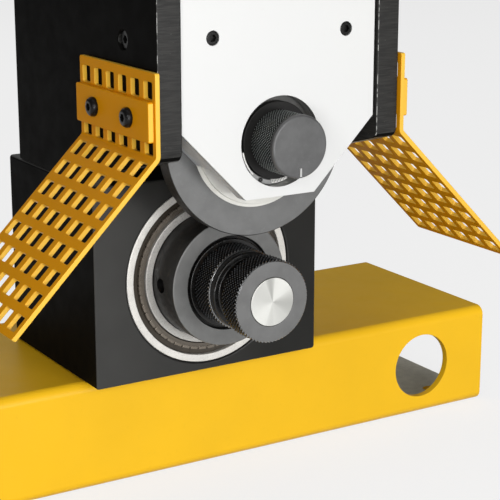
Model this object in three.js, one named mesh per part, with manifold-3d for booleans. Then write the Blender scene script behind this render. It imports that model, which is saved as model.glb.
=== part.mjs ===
// Bench roll grooving machine: a knurled drive roll turns a pipe while an upper roll is pressed into it.
// Millimetres, +Z up. The origin is the centre of the base's underside, and the pipe comes in from -Y.

import * as THREE from 'three';
import { mergeVertices } from 'three/addons/utils/BufferGeometryUtils.js';
import Module from 'manifold-3d';

const wasm = await Module();
wasm.setup();

// Clearances and working values
const seat = 0.2;               // air between faces that are bolted or pressed together
const running = 0.3;            // radial clearance of a pin, shaft or slider that moves
const overrun = 1;              // how far a cutter reaches past the face that it cuts
const tipGap = 1;               // left beyond a screw's tip in a blind hole
const mergeReach = 1e-3;        // corners of a three.js geometry closer than this are one corner
const arcSteps = 4;             // facets along a bend, a race or a dome
const fine = 24;                // facets round the large, the middling and the small turned shapes
const medium = 16;
const small = 10;

// Base: a box section with carry-bar holes through its front and rear walls
const baseLength = 448.8;
const baseDepth = 141;
const baseHeight = 67;
const baseWall = 5;
const baseCorner = 6;
const barHoleRadius = 21.5;
const barHoleFromEnd = 51.7;
const benchHoleRadius = 5.5;
const benchHoleFromEnd = 24;
const benchHoleSpread = 92;

// Bearing block: overhangs the base's front, with the shaft axis at its centre
const blockWidth = 150.8;
const blockDepth = 116;
const blockAboveShaft = 60;
const blockOverhang = 15;
const blockEdge = 1.6;
const shaftAboveBase = 59.5;
const boltRadius = 5;
const boltHeadRadius = 8;
const boltHeadHeight = 7;
const boltLength = 26;
const boltSpread = 116;

// Bearings
const bearingOuterRadius = 54.4;
const bearingOuterLand = 50.4;
const bearingInnerLand = 42.2;
const bearingWidth = 20;
const bearingSetBack = 0.6;
const boreMouthChamfer = 1.4;
const ballRadius = 5.8;
const ballCount = 12;
const raceClearance = 0.6;
const shieldThickness = 1;
const shieldClearance = 0.8;
const cageInnerRadius = 44.2;
const cageOuterRadius = 48.4;
const cageWidth = 8;

// Drive shaft
const noseRadius = 37.5;
const noseLength = 23.4;
const noseGrooveInner = 24.9;
const noseGrooveOuter = 28.4;
const noseGrooveDepth = 2.5;
const noseEdge = 0.8;
const setScrewRadius = 4;
const setScrewLength = 12;
const setScrewFromBlock = 8.6;
const setScrewSink = 3;
const threadRadius = 22;
const shaftNutRadius = 34;
const shaftNutWidth = 10;
const shaftNutSlotWidth = 7;
const shaftNutSlotDepth = 5;
const tailRadius = 16;
const tailLength = 38;
const tailFlatDepth = 2.4;

// Drive roll: knurled band, groove, knurled band, shank
const rollKnurlRadius = 24;
const rollKnurlDepth = 1;
const rollTeeth = 24;
const rollFrontBand = 16;
const rollGrooveWidth = 13.7;
const rollGrooveRadius = 20;
const rollGrooveSlope = 2.2;
const rollRearBand = 15;
const rollFromNose = 1.2;
const rollCollarRadius = 24.2;
const shankRadius = 16;
const shankLength = 60;
const endDiscRadius = 13.9;
const endDiscThickness = 3;
const endDiscProud = 0.2;
const drawBoltRadius = 6;
const drawBoltHeadRadius = 11;
const drawBoltHeadLength = 9;
const drawBoltGrip = 26;

// Side plates, back plate and crown plate of the frame
const plateThickness = 13.8;
const plateOuterX = 75.3;
const plateFrontFromBlock = 79.3;
const plateThroatZ = 88;
const plateThroatRadius = 6;
const throatSlope = 0.27;
const plateFootFromBlock = 3;
const plateRearInset = 16;
const plateTopZ = 258;
const plateTopRadius = 14;
const plateTopCut = 34;
const backPlateThickness = 16;
const crownThickness = 20;
const crownFrontFromBlock = 76;
const crownRodHole = 16;

// Ram: the fork that carries the upper roll between a front and a rear cheek
const ramHalfWidth = 60.4;
const ramLowHalfWidth = 21.9;
const ramChamferZ = 100.6;
const ramBottomZ = 61.5;
const ramTopGap = 2;            // left above the ram's head when the ram is fully up
const facePlateFront = 77.1;    // in front of the block
const facePlateThickness = 2.2;
const rollAxisZ = 91.6;
const knobBoreRadius = 24.7;
const knobBoreDepth = 10.1;
const faceScrewX = 41.6;
const faceScrewZ = 149.2;
const faceScrewHeadRadius = 4.1;
const faceScrewHeadLength = 7;
const faceScrewRadius = 2.9;
const faceScrewLength = 44;
const spacerHalfWidth = 57.2;
const spacerLowZ = 136;
const rollArchClearance = 2.6;
const rearCheekThickness = 24;
const recessWall = 0.5;
const recessFloorFromFace = 5.4;
const recessFillet = 5;
const bossRadius = 29;
const ramHeadThickness = 14;
const ramHeadHalfWidth = 52;

// Upper roll and its axle
const upperRollRadius = 56.86;
const upperRollWidth = 10;
const upperRollFront = 52.8;    // in front of the block
const upperRollGap = 0.9;       // from the roll to the rear cheek
const upperRollEdge = 0.7;
const landRadius = 40.4;
const landHeight = 0.6;
const bushWall = 4;
const axleRadius = 15;
const axleHeadRadius = 20;
const axleHeadLength = 5;
const frontWasherRadius = 36.2;
const rearWasherRadius = 27;
const washerThickness = 2;

// Depth knob and the dial in its bore
const knobRadius = 16.3;
const knobProud = 19.1;         // in front of the face plate
const knobEdge = 1.1;
const knobTeeth = 24;
const knobToothDepth = 0.35;
const knobPlainCollar = 2.4;
const knobIndexWidth = 1.6;
const knobIndexLength = 5;
const knobIndexDepth = 0.8;
const skirtRadius = 21.2;
const skirtThickness = 4;
const spindleRadius = 6;
const spindleDepth = 12;
const dialThickness = 2.1;
const dialInnerRadius = 8;
const stopInnerRadius = 21.7;
const stopStartShare = 0.6222;  // turn of the stop plate's ends, as shares of a full turn
const stopEndShare = 0.7278;
const stopPlateThickness = 3.4;
const stopScrewRadius = 1.1;
const stopScrewHeight = 1;

// Guide keys that the ram slides on
const keyDepth = 3.8;
const keyFrontClearance = 0.3;
const keyRearFromBlock = 35.6;
const keyLowZ = 96;
const keyTopGap = 4;
const keyScrewFromBlock = 41.6;
const keyScrewLowZ = 147;
const keyScrewFromTop = 29;
const keyScrewRadius = 3;
const keyScrewHeadRadius = 5;
const keyScrewHeadLength = 5.5;
const keyScrewSink = 1.5;

// Guards: folded sheet with square holes at one pitch across the fold
const guardThickness = 2.7;
const guardFrontFromBlock = 82;
const guardLength = 87;
const guardTopZ = 134.2;
const guardFoldZ = 91;
const guardWingLength = 116.4;  // from the fold line on the outer face, like the first row of holes
const guardFirstWingRow = 8.5;
const guardBendRadius = 2.4;
const guardHole = 9.2;
const guardPitch = 14.2;
const guardColumns = 6;
const guardTopRowFromEdge = 9.4;
const guardWingRows = 8;
const guardSlotRadius = 3.5;
const guardSlotTravel = 4.5;
const guardTurnShare = 0.125;   // the fold, as a share of a full turn

// Clamp bars and their screws
const barThickness = 3.2;
const barLength = 84;
const barHeight = 21;
const barCentreZ = 109.2;
const barEdge = 0.8;
const barScrewSpread = 40;
const barScrewRadius = 3;
const barScrewHeadRadius = 5.3;
const barScrewHeadHeight = 3.4;
const barScrewRimHeight = 1.1;
const barScrewShoulderRadius = 4.3;
const barScrewShoulderHeight = 2.7;
const barScrewCrownRadius = 3;
const barScrewGrip = 12;
const socketRadius = 2.2;
const socketDepth = 1.8;

// Hydraulic cylinder
const cylinderRadius = 42;
const cylinderFlangeRadius = 49;
const cylinderFlangeHeight = 10;
const cylinderHeight = 92;
const cylinderBoreRadius = 30;
const cylinderCrown = 12;
const cylinderTopChamfer = 6;
const rodRadius = 14;
const pistonThickness = 16;
const glandHeight = 13;
const ramClosing = 12;          // travel from the rest place down to the deepest groove
const ramOpening = 22;          // travel from the rest place up to full opening
const fillerRadius = 8;
const fillerHeight = 7;
const fillerFromAxis = 26;
const fillerStem = 8;

// Hand pump behind the cylinder
const pumpWidth = 56;
const pumpDepth = 54;
const pumpHeight = 66;
const pumpFrontFromBlock = 8;
const pumpEdge = 3;
const earThickness = 8;
const earHeight = 31;
const earDepth = 20;
const earCorner = 6.6;
const earGap = 15;
const pivotFromRear = 13;
const pivotRise = 22;
const pinRadius = 4;
const pinProud = 2.5;
const plungerRadius = 8;
const plungerFromPivot = 24;
const plungerBoreDepth = 48;
const plungerDepth = 26;
const leverWidth = 12;
const leverHubRadius = 8;
const leverArmDeep = 10.6;
const leverLength = 190;
const leverTurnShare = 0.17;    // lean of the lever above level, as a share of a full turn
const toeLength = 26;
const toeDeep = 9;
const gripLength = 96;
const gripRadius = 13;
const gripWall = 3;
const gripEdge = 3;
const releaseStemRadius = 4;
const releaseStemDepth = 16;
const releaseKnobRadius = 12;
const releaseKnobLength = 15;
const releaseLobes = 6;
const releaseLobeDepth = 1.6;
const releaseRise = 24;

// Places that follow from the sizes above. Fronts and Z values are counted from the shaft's axis at the
// block's front face, which is where the head group has its origin.
const shaftZ = baseHeight + shaftAboveBase;
const blockFrontY = -baseDepth / 2 - blockOverhang;
const noseFront = -noseLength;
const rollEnd = noseFront - rollFromNose - rollRearBand - rollGrooveWidth - rollFrontBand;
const cheekFront = -facePlateFront + facePlateThickness + seat;
const rollFaceY = -upperRollFront;
const rollBackY = rollFaceY + upperRollWidth;
const cheekBack = rollFaceY - recessWall;
const rearCheekFront = rollBackY + upperRollGap;
const rearCheekBack = rearCheekFront + rearCheekThickness;
const spacerFront = cheekBack + seat;
const spacerBack = rearCheekFront - seat;
const plateInnerX = plateOuterX - plateThickness;
const plateRearY = blockDepth - plateRearInset;
const crownLowZ = plateTopZ - crownThickness;
const ramTopZ = crownLowZ - ramOpening - ramTopGap - ramHeadThickness;
const keyHighZ = crownLowZ - keyTopGap;
const keyScrewHighZ = keyHighZ - keyScrewFromTop;
const rodY = (cheekFront + rearCheekBack) / 2;
const cylinderLowZ = plateTopZ + seat;
const pumpPivotY = pumpFrontFromBlock + pumpDepth - pivotFromRear;
const pumpPivotZ = plateTopZ + seat + pumpHeight + pivotRise;
const washerFrontY = rollFaceY - landHeight - seat - washerThickness;
const bossEndY = washerFrontY - running;
const knobFloorY = -facePlateFront + knobBoreDepth;
const dialTopY = knobFloorY - seat - dialThickness;
const skirtBackY = dialTopY - running;
const skirtFrontY = skirtBackY - skirtThickness;
const guardInnerX = plateOuterX + seat;
const guardOuterX = guardInnerX + guardThickness;
const barInnerX = guardOuterX + seat;

// Finishes
const finish = (color, roughness, metalness) =>
  new THREE.MeshStandardMaterial({ color, roughness, metalness });
const yellowPaint = finish(0xf2b51d, 0.42, 0.1);
const blackPaint = finish(0x24231f, 0.5, 0.3);
const whitePaint = finish(0xf2f2ef, 0.38, 0.05);
const blackedSteel = finish(0x2b2a28, 0.45, 0.75);
const groundSteel = finish(0x85868a, 0.35, 0.9);
const rollSteel = finish(0x7b7c7e, 0.38, 0.85);
const brightSteel = finish(0xd5d3cd, 0.22, 1);
const cageSteel = finish(0x5c5044, 0.45, 0.7);
const bronze = finish(0x9a7440, 0.35, 0.9);
const rubber = finish(0x1b1b1c, 0.8, 0);

// A closed solid from any closed three.js geometry, with its faces turned out
function solid(geometry) {
  const bare = geometry.clone();
  bare.deleteAttribute('normal');
  bare.deleteAttribute('uv');
  const merged = mergeVertices(bare, mergeReach);
  const corners = merged.attributes.position.array;
  const order = merged.index.array;
  const triangles = [];
  const a = new THREE.Vector3();
  const b = new THREE.Vector3();
  const c = new THREE.Vector3();
  let volume = 0;
  for (let i = 0; i < order.length; i += 3) {
    const [p, q, r] = [order[i], order[i + 1], order[i + 2]];
    if (p === q || q === r || r === p) continue;
    triangles.push(p, q, r);
    a.fromArray(corners, 3 * p);
    b.fromArray(corners, 3 * q);
    c.fromArray(corners, 3 * r);
    volume += a.dot(b.cross(c));
  }
  if (volume < 0) triangles.reverse();
  const triVerts = Uint32Array.from(triangles);
  return new wasm.Manifold(new wasm.Mesh({ numProp: 3, vertProperties: corners, triVerts }));
}

function meshGeometry(body) {
  const cut = body.getMesh();
  const geometry = new THREE.BufferGeometry();
  geometry.setAttribute('position', new THREE.BufferAttribute(Float32Array.from(cut.vertProperties), 3));
  geometry.setIndex(new THREE.BufferAttribute(Uint32Array.from(cut.triVerts), 1));
  geometry.computeVertexNormals();
  return geometry;
}

function piece(group, name, body, material) {
  const mesh = new THREE.Mesh(meshGeometry(body), material);
  mesh.name = name;
  group.add(mesh);
  return mesh;
}

const cutAll = (body, cutters) => cutters.reduce((rest, cutter) => rest.subtract(cutter), body);
const joinAll = (bodies) => bodies.reduce((sum, body) => sum.add(body));

// Outline helpers: a shape from corner points, and the same with some corners rounded
function outline(points) {
  return new THREE.Shape(points.map(([x, y]) => new THREE.Vector2(x, y)));
}

function roundedOutline(points, radii, steps = 3) {
  const rounded = [];
  points.forEach((point, i) => {
    const here = new THREE.Vector2(...point);
    const before = new THREE.Vector2(...points.at(i - 1)).sub(here).normalize();
    const after = new THREE.Vector2(...points[(i + 1) % points.length]).sub(here).normalize();
    if (!radii[i]) {
      rounded.push(here);
      return;
    }
    const half = Math.acos(before.dot(after)) / 2;
    const reach = radii[i] / Math.tan(half);
    const start = here.clone().addScaledVector(before, reach);
    const end = here.clone().addScaledVector(after, reach);
    const centre = before.clone().add(after).normalize().multiplyScalar(radii[i] / Math.sin(half)).add(here);
    const from = start.clone().sub(centre);
    const turn = Math.atan2(from.cross(end.clone().sub(centre)), from.dot(end.clone().sub(centre)));
    for (let step = 0; step <= steps; step += 1) {
      const spoke = from.clone().rotateAround(new THREE.Vector2(), (turn * step) / steps);
      rounded.push(spoke.add(centre));
    }
  });
  return new THREE.Shape(rounded);
}

const between = (a, b) => [Math.min(a, b), Math.max(a, b)];

const rectangle = (x0, x1, y0, y1) => [[x0, y0], [x1, y0], [x1, y1], [x0, y1]];

// Extrusions whose outline lies in one of the three main planes, from one depth to another
const planes = {
  xz: new THREE.Matrix4().makeBasis(
    new THREE.Vector3(1, 0, 0), new THREE.Vector3(0, 0, 1), new THREE.Vector3(0, -1, 0)),
  yz: new THREE.Matrix4().makeBasis(
    new THREE.Vector3(0, 1, 0), new THREE.Vector3(0, 0, 1), new THREE.Vector3(1, 0, 0)),
  xy: new THREE.Matrix4(),
};

function extruded(shape, plane, low, high, edge = 0, curveSegments = 12) {
  const options = { depth: high - low - 2 * edge, bevelEnabled: edge > 0, curveSegments };
  Object.assign(options, { bevelSize: edge, bevelThickness: edge, bevelOffset: -edge, bevelSegments: 1 });
  const geometry = new THREE.ExtrudeGeometry(shape, options);
  geometry.translate(0, 0, plane === 'xz' ? -high + edge : low + edge);
  return solid(geometry.applyMatrix4(planes[plane]));
}

// Turned shapes: profile points are [radius, place along the axis], closed along the axis
function turned(profile, axis, centre = [0, 0, 0], segments = medium) {
  const points = profile.map(([radius, along]) => new THREE.Vector2(radius, along));
  const geometry = new THREE.LatheGeometry(points, segments);
  if (axis === 'x') geometry.rotateZ(-Math.PI / 2);
  if (axis === 'z') geometry.rotateX(Math.PI / 2);
  return solid(geometry.translate(...centre));
}

const rod = (radius, low, high, axis, centre, segments) =>
  turned([[0, low], [radius, low], [radius, high], [0, high]], axis, centre, segments);

const tube = (inner, outer, low, high, axis, centre, segments) =>
  turned([[inner, low], [outer, low], [outer, high], [inner, high], [inner, low]], axis, centre, segments);

function block(x0, x1, y0, y1, z0, z1) {
  const geometry = new THREE.BoxGeometry(x1 - x0, y1 - y0, z1 - z0);
  return solid(geometry.translate((x0 + x1) / 2, (y0 + y1) / 2, (z0 + z1) / 2));
}

function hexPrism(radius, low, high, axis, centre) {
  return rod(radius, low, high, axis, centre, 6);
}

// A toothed band about the Y axis: straight teeth around a cylinder, with plain faces
function toothedBand(radius, depth, teeth, low, high) {
  const points = [];
  for (let i = 0; i < 2 * teeth; i += 1) {
    const reach = i % 2 ? radius - depth : radius;
    const angle = (Math.PI * i) / teeth;
    points.push([reach * Math.cos(angle), reach * Math.sin(angle)]);
  }
  return extruded(outline(points), 'xz', low, high);
}

// A socket-head screw along an axis: its head lies between head and the length below it, with a hex socket
function socketScrew(axis, centre, headEnd, headLength, headRadius, shankEnd, shankRadius) {
  const away = Math.sign(headEnd - shankEnd);
  const neck = headEnd - away * headLength;
  const profile = [
    [0, headEnd], [headRadius, headEnd], [headRadius, neck], [shankRadius, neck], [shankRadius, shankEnd],
    [0, shankEnd]];
  const socket = between(headEnd - away * socketDepth, headEnd + away * overrun);
  return turned(profile, axis, centre, small).subtract(hexPrism(socketRadius, ...socket, axis, centre));
}

const machine = new THREE.Group();
const head = new THREE.Group();
head.position.set(0, blockFrontY, shaftZ);
machine.add(head);

// Base with carry-bar holes, bench holes in the floor and bolt holes in the roof
function makeBase() {
  const [halfL, halfD] = [baseLength / 2, baseDepth / 2];
  const outer = rectangle(-halfD, halfD, 0, baseHeight);
  const inner = rectangle(baseWall - halfD, halfD - baseWall, baseWall, baseHeight - baseWall);
  const corner = baseCorner - baseWall / 2;
  let body = extruded(roundedOutline(outer, Array(4).fill(baseCorner)), 'yz', -halfL, halfL);
  const hollow = roundedOutline(inner, Array(4).fill(corner));
  body = body.subtract(extruded(hollow, 'yz', -halfL - overrun, halfL + overrun));
  for (const side of [-1, 1]) {
    const barX = side * (halfL - barHoleFromEnd);
    const bar = rod(barHoleRadius, -halfD - overrun, halfD + overrun, 'y', [barX, 0, baseHeight / 2], medium);
    body = body.subtract(bar);
    for (const row of [-1, 1]) {
      const bench = [side * (halfL - benchHoleFromEnd), (row * benchHoleSpread) / 2, 0];
      body = body.subtract(rod(benchHoleRadius, -overrun, baseWall + overrun, 'z', bench, medium));
    }
    const bolt = [(side * boltSpread) / 2, blockFrontY + blockDepth / 2, baseHeight];
    body = body.subtract(rod(boltRadius + running, -baseWall - overrun, overrun, 'z', bolt, small));
  }
  piece(machine, 'base_tube', body, yellowPaint);
}

// Block bolts: from inside the base up into the block
const boltTop = -shaftAboveBase + seat + boltLength;

function makeBlockBolts() {
  for (const [name, side] of [['left', -1], ['right', 1]]) {
    const place = [(side * boltSpread) / 2, blockDepth / 2, 0];
    const underRoof = -shaftAboveBase - baseWall - seat;
    const bolt = hexPrism(boltHeadRadius, underRoof - boltHeadHeight, underRoof, 'z', place)
      .add(rod(boltRadius, underRoof - overrun, boltTop, 'z', place, small));
    piece(head, `block_bolt_${name}`, bolt, blackedSteel);
  }
}

// Bearing block with a stepped bore: a seat for each bearing and a smaller bore between them
const rearBearingY = blockDepth - bearingSetBack - bearingWidth;

function makeBlock() {
  const low = -shaftAboveBase + seat;
  const half = blockWidth / 2;
  let body = extruded(outline(rectangle(-half, half, low, blockAboveShaft)), 'xz', 0, blockDepth, blockEdge);
  const fit = bearingOuterRadius + seat;
  const seatEnd = bearingSetBack + bearingWidth + seat;
  const mouth = fit + boreMouthChamfer;
  const bore = [
    [0, -overrun], [mouth + overrun, -overrun], [mouth, 0], [fit, boreMouthChamfer], [fit, seatEnd],
    [bearingOuterLand, seatEnd], [bearingOuterLand, blockDepth - seatEnd], [fit, blockDepth - seatEnd],
    [fit, blockDepth - boreMouthChamfer], [mouth, blockDepth], [mouth + overrun, blockDepth + overrun],
    [0, blockDepth + overrun]];
  body = body.subtract(turned(bore, 'y', [0, 0, 0], fine));
  for (const x of [-boltSpread / 2, boltSpread / 2]) {
    const foot = [x, blockDepth / 2, 0];
    body = body.subtract(rod(boltRadius + running, low - overrun, boltTop + overrun, 'z', foot, small));
  }
  piece(head, 'bearing_block', body, blackPaint);
}

// Front bearing: outer ring, inner ring, and a cage with its balls, all open to the front
const ballCircle = (bearingOuterLand + bearingInnerLand) / 2;

function ringProfile(bore, land, away) {
  const raceRadius = ballRadius + raceClearance;
  const start = bearingSetBack;
  const end = start + bearingWidth;
  const half = Math.acos(Math.abs(land - ballCircle) / raceRadius);
  const race = [];
  for (let step = 0; step <= arcSteps; step += 1) {
    const angle = -half + (2 * half * step) / arcSteps;
    const reach = ballCircle + away * raceRadius * Math.cos(angle);
    race.push([reach, (start + end) / 2 + raceRadius * Math.sin(angle)]);
  }
  return [[bore, start], [land, start], ...race, [land, end], [bore, end], [bore, start]];
}

function makeFrontBearing() {
  const outer = turned(ringProfile(bearingOuterRadius, bearingOuterLand, 1), 'y', [0, 0, 0], fine);
  piece(head, 'front_bearing_outer_ring', outer, brightSteel);
  const inner = turned(ringProfile(noseRadius + seat, bearingInnerLand, -1), 'y', [0, 0, 0], fine);
  piece(head, 'front_bearing_inner_ring', inner, brightSteel);
  const middle = bearingSetBack + bearingWidth / 2;
  const half = cageWidth / 2;
  let cage = tube(cageInnerRadius, cageOuterRadius, middle - half, middle + half, 'y', [0, 0, 0], medium);
  for (let i = 0; i < ballCount; i += 1) {
    const angle = (2 * Math.PI * i) / ballCount;
    const ball = new THREE.SphereGeometry(ballRadius, 6, 4);
    ball.translate(ballCircle * Math.cos(angle), middle, ballCircle * Math.sin(angle));
    cage = cage.add(solid(ball));
  }
  piece(head, 'ball_cage', cage, cageSteel);
}

// Rear bearing: a shielded one, so its outer ring is a channel that hides the balls
function makeRearBearing() {
  const [start, end] = [rearBearingY, rearBearingY + bearingWidth];
  const shield = bearingInnerLand + shieldClearance;
  const channel = [
    [bearingOuterRadius, start], [shield, start], [shield, start + shieldThickness],
    [bearingOuterLand, start + shieldThickness], [bearingOuterLand, end - shieldThickness],
    [shield, end - shieldThickness], [shield, end], [bearingOuterRadius, end], [bearingOuterRadius, start]];
  piece(head, 'rear_bearing_outer_ring', turned(channel, 'y', [0, 0, 0], fine), brightSteel);
  const inner = tube(noseRadius + seat, bearingInnerLand, start, end, 'y', [0, 0, 0], fine);
  piece(head, 'rear_bearing_inner_ring', inner, brightSteel);
}

// Drive shaft: big nose in front, bearing journal, threaded end and a tail with three flats
const journalEnd = blockDepth - bearingSetBack + seat;
const threadEnd = journalEnd + shaftNutWidth + 2 * seat;
const tailEnd = threadEnd + tailLength;
const drawSeatY = journalEnd - drawBoltGrip;

function makeDriveShaft() {
  const grooveFloor = noseFront + noseGrooveDepth;
  const boreEnd = noseFront + shankLength + seat;
  const profile = [
    [shankRadius + seat, noseFront], [noseGrooveInner, noseFront], [noseGrooveInner, grooveFloor],
    [noseGrooveOuter, grooveFloor], [noseGrooveOuter, noseFront], [noseRadius - noseEdge, noseFront],
    [noseRadius, noseFront + noseEdge], [noseRadius, journalEnd], [threadRadius, journalEnd],
    [threadRadius, threadEnd], [tailRadius, threadEnd], [tailRadius, tailEnd],
    [drawBoltHeadRadius + running, tailEnd], [drawBoltHeadRadius + running, drawSeatY],
    [drawBoltRadius + running, drawSeatY], [drawBoltRadius + running, boreEnd],
    [shankRadius + seat, boreEnd], [shankRadius + seat, noseFront]];
  let body = turned(profile, 'y', [0, 0, 0], fine);
  for (let i = 0; i < 3; i += 1) {
    const flat = block(tailRadius - tailFlatDepth, tailRadius + overrun, threadEnd + seat, tailEnd + overrun,
      -tailRadius, tailRadius);
    body = body.subtract(flat.rotate([0, (360 * i) / 3 + 90, 0]));
  }
  const screwHole = rod(setScrewRadius + running, -noseRadius - overrun, -shankRadius, 'x',
    [0, -setScrewFromBlock, 0], small);
  piece(head, 'drive_shaft', body.subtract(screwHole), blackedSteel);
}

function makeSetScrew() {
  const outside = -noseRadius + setScrewSink;
  const screw = socketScrew('x', [0, -setScrewFromBlock, 0], outside, setScrewLength / 2, setScrewRadius,
    outside + setScrewLength, setScrewRadius - running);
  piece(head, 'nose_set_screw', screw, blackedSteel);
}

function makeShaftNut() {
  const low = journalEnd + seat;
  let nut = tube(threadRadius + running, shaftNutRadius, low, low + shaftNutWidth, 'y', [0, 0, 0], fine);
  for (let i = 0; i < 4; i += 1) {
    const slot = block(shaftNutRadius - shaftNutSlotDepth, shaftNutRadius + overrun, low - overrun,
      low + shaftNutWidth + overrun, -shaftNutSlotWidth / 2, shaftNutSlotWidth / 2);
    nut = nut.subtract(slot.rotate([0, 90 * i + 45, 0]));
  }
  piece(head, 'shaft_nut', nut, blackedSteel);
}

// Drive roll: two toothed bands on a turned core that has the groove, the collar and the shank
const frontBandEnd = rollEnd + rollFrontBand;
const rearBandStart = frontBandEnd + rollGrooveWidth;

function makeDriveRoll() {
  const collarStart = rearBandStart + rollRearBand;
  const rootRadius = rollKnurlRadius - rollKnurlDepth - seat;
  const discFloor = rollEnd - endDiscProud + endDiscThickness + seat;
  const core = [
    [0, discFloor], [endDiscRadius + seat, discFloor], [endDiscRadius + seat, rollEnd],
    [rollKnurlRadius - knobEdge, rollEnd], [rootRadius, rollEnd + knobEdge], [rootRadius, frontBandEnd],
    [rollGrooveRadius, frontBandEnd + rollGrooveSlope / 2],
    [rollGrooveRadius, rearBandStart - rollGrooveSlope], [rootRadius, rearBandStart],
    [rootRadius, collarStart], [rollCollarRadius, collarStart], [rollCollarRadius, noseFront - seat],
    [shankRadius, noseFront - seat], [shankRadius, noseFront + shankLength],
    [drawBoltRadius, noseFront + shankLength], [drawBoltRadius, noseFront + shankLength - drawBoltGrip],
    [0, noseFront + shankLength - drawBoltGrip]];
  const band = (low, high) => toothedBand(rollKnurlRadius, rollKnurlDepth, rollTeeth, low, high);
  const body = joinAll([
    turned(core, 'y', [0, 0, 0], rollTeeth), band(rollEnd + knobEdge, frontBandEnd - seat),
    band(rearBandStart + seat, collarStart - rollFromNose)]);
  const shankEnd = noseFront + shankLength;
  const bore = rod(drawBoltRadius + seat, shankEnd - drawBoltGrip, shankEnd + overrun, 'y', [0, 0, 0], small);
  const disc = rod(endDiscRadius + seat, rollEnd - overrun, discFloor, 'y', [0, 0, 0], rollTeeth);
  piece(head, 'drive_roll', cutAll(body, [bore, disc]), rollSteel);
}

function makeEndDisc() {
  const front = rollEnd - endDiscProud;
  const disc = rod(endDiscRadius, front, front + endDiscThickness, 'y', [0, 0, 0], rollTeeth);
  piece(head, 'roll_end_disc', disc, brightSteel);
}

function makeDrawBolt() {
  const headEnd = drawSeatY + seat + drawBoltHeadLength;
  const tip = noseFront + shankLength - drawBoltGrip + overrun;
  piece(head, 'draw_bolt', socketScrew('y', [0, 0, 0], headEnd, drawBoltHeadLength, drawBoltHeadRadius, tip,
    drawBoltRadius), blackedSteel);
}

// Side plates: the throat's lower edge slopes down towards the block, and the foot stands on the block
function makeSidePlates() {
  const footZ = blockAboveShaft + seat;
  const slopeEndZ = plateThroatZ - throatSlope * (plateFrontFromBlock + plateFootFromBlock);
  const corners = [
    [-plateFrontFromBlock, plateTopZ], [-plateFrontFromBlock, plateThroatZ], [plateFootFromBlock, slopeEndZ],
    [plateFootFromBlock, footZ], [plateRearY, footZ], [plateRearY, plateTopZ - plateTopCut],
    [plateRearY - plateTopCut, plateTopZ]];
  const radii = [plateTopRadius, plateThroatRadius, 0, 0, 0, plateTopRadius, plateTopRadius];
  const shape = roundedOutline(corners, radii);
  for (const [name, side] of [['left', -1], ['right', 1]]) {
    const [low, high] = side < 0 ? [-plateOuterX, -plateInnerX] : [plateInnerX, plateOuterX];
    const holes = [];
    for (const z of [keyScrewLowZ, keyScrewHighZ]) {
      const centre = [0, -keyScrewFromBlock, z];
      const headFloor = plateOuterX - keyScrewSink - keyScrewHeadLength - seat;
      const head0 = between(side * headFloor, side * (plateOuterX + overrun));
      const shank = between(side * (plateInnerX - overrun), side * plateOuterX);
      holes.push(rod(keyScrewHeadRadius + running, ...head0, 'x', centre, small));
      holes.push(rod(keyScrewRadius + running, ...shank, 'x', centre, small));
    }
    for (const y of barScrewPlaces()) {
      const hole = between(side * (plateOuterX - barScrewGrip), side * (plateOuterX + overrun));
      holes.push(rod(barScrewRadius + running, ...hole, 'x', [0, y, barCentreZ], small));
    }
    piece(head, `side_plate_${name}`, cutAll(extruded(shape, 'yz', low, high), holes), blackPaint);
  }
}

function barScrewPlaces() {
  const middle = -guardFrontFromBlock + guardLength / 2;
  return [middle - barScrewSpread / 2, middle + barScrewSpread / 2];
}

function makeBackAndCrown() {
  const x = plateInnerX - seat;
  const rear = plateRearY - plateTopCut;
  const backRear = plateRearY;
  const back = block(-x, x, backRear - backPlateThickness, backRear, blockAboveShaft + seat,
    plateTopZ - plateTopCut - seat);
  piece(head, 'back_plate', back, blackPaint);
  const crown = block(-x, x, -crownFrontFromBlock, rear, crownLowZ, plateTopZ)
    .subtract(rod(crownRodHole, crownLowZ - overrun, plateTopZ + overrun, 'z', [0, rodY, 0], medium));
  piece(head, 'crown_plate', crown, blackPaint);
}

function makeGuideKeys() {
  const front = cheekBack + keyFrontClearance;
  for (const [name, side] of [['left', -1], ['right', 1]]) {
    const outer = plateInnerX - seat;
    const span = between(side * outer, side * (outer - keyDepth));
    let key = block(...span, front, -keyRearFromBlock, keyLowZ, keyHighZ);
    for (const [level, z] of [['lower', keyScrewLowZ], ['upper', keyScrewHighZ]]) {
      const centre = [0, -keyScrewFromBlock, z];
      const hole = between(side * (outer - keyDepth - overrun), side * (outer + overrun));
      key = key.subtract(rod(keyScrewRadius + seat, ...hole, 'x', centre, small));
      const headEnd = side * (plateOuterX - keyScrewSink);
      const screw = socketScrew('x', centre, headEnd, keyScrewHeadLength, keyScrewHeadRadius,
        side * (outer - keyDepth + seat), keyScrewRadius);
      piece(head, `key_screw_${name}_${level}`, screw, blackedSteel);
    }
    piece(head, `guide_key_${name}`, key, groundSteel);
  }
}

// Ram cheeks share one outline: straight sides, two chamfers and a short lower edge
function ramShape(topZ) {
  return outline([
    [-ramLowHalfWidth, ramBottomZ], [ramLowHalfWidth, ramBottomZ], [ramHalfWidth, ramChamferZ],
    [ramHalfWidth, topZ], [-ramHalfWidth, topZ], [-ramHalfWidth, ramChamferZ]]);
}

const rollAxis = [0, 0, rollAxisZ];

function faceScrewHoles(radius, low, high) {
  return [-faceScrewX, faceScrewX].map((x) => rod(radius, low, high, 'y', [x, 0, faceScrewZ], small));
}

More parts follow.
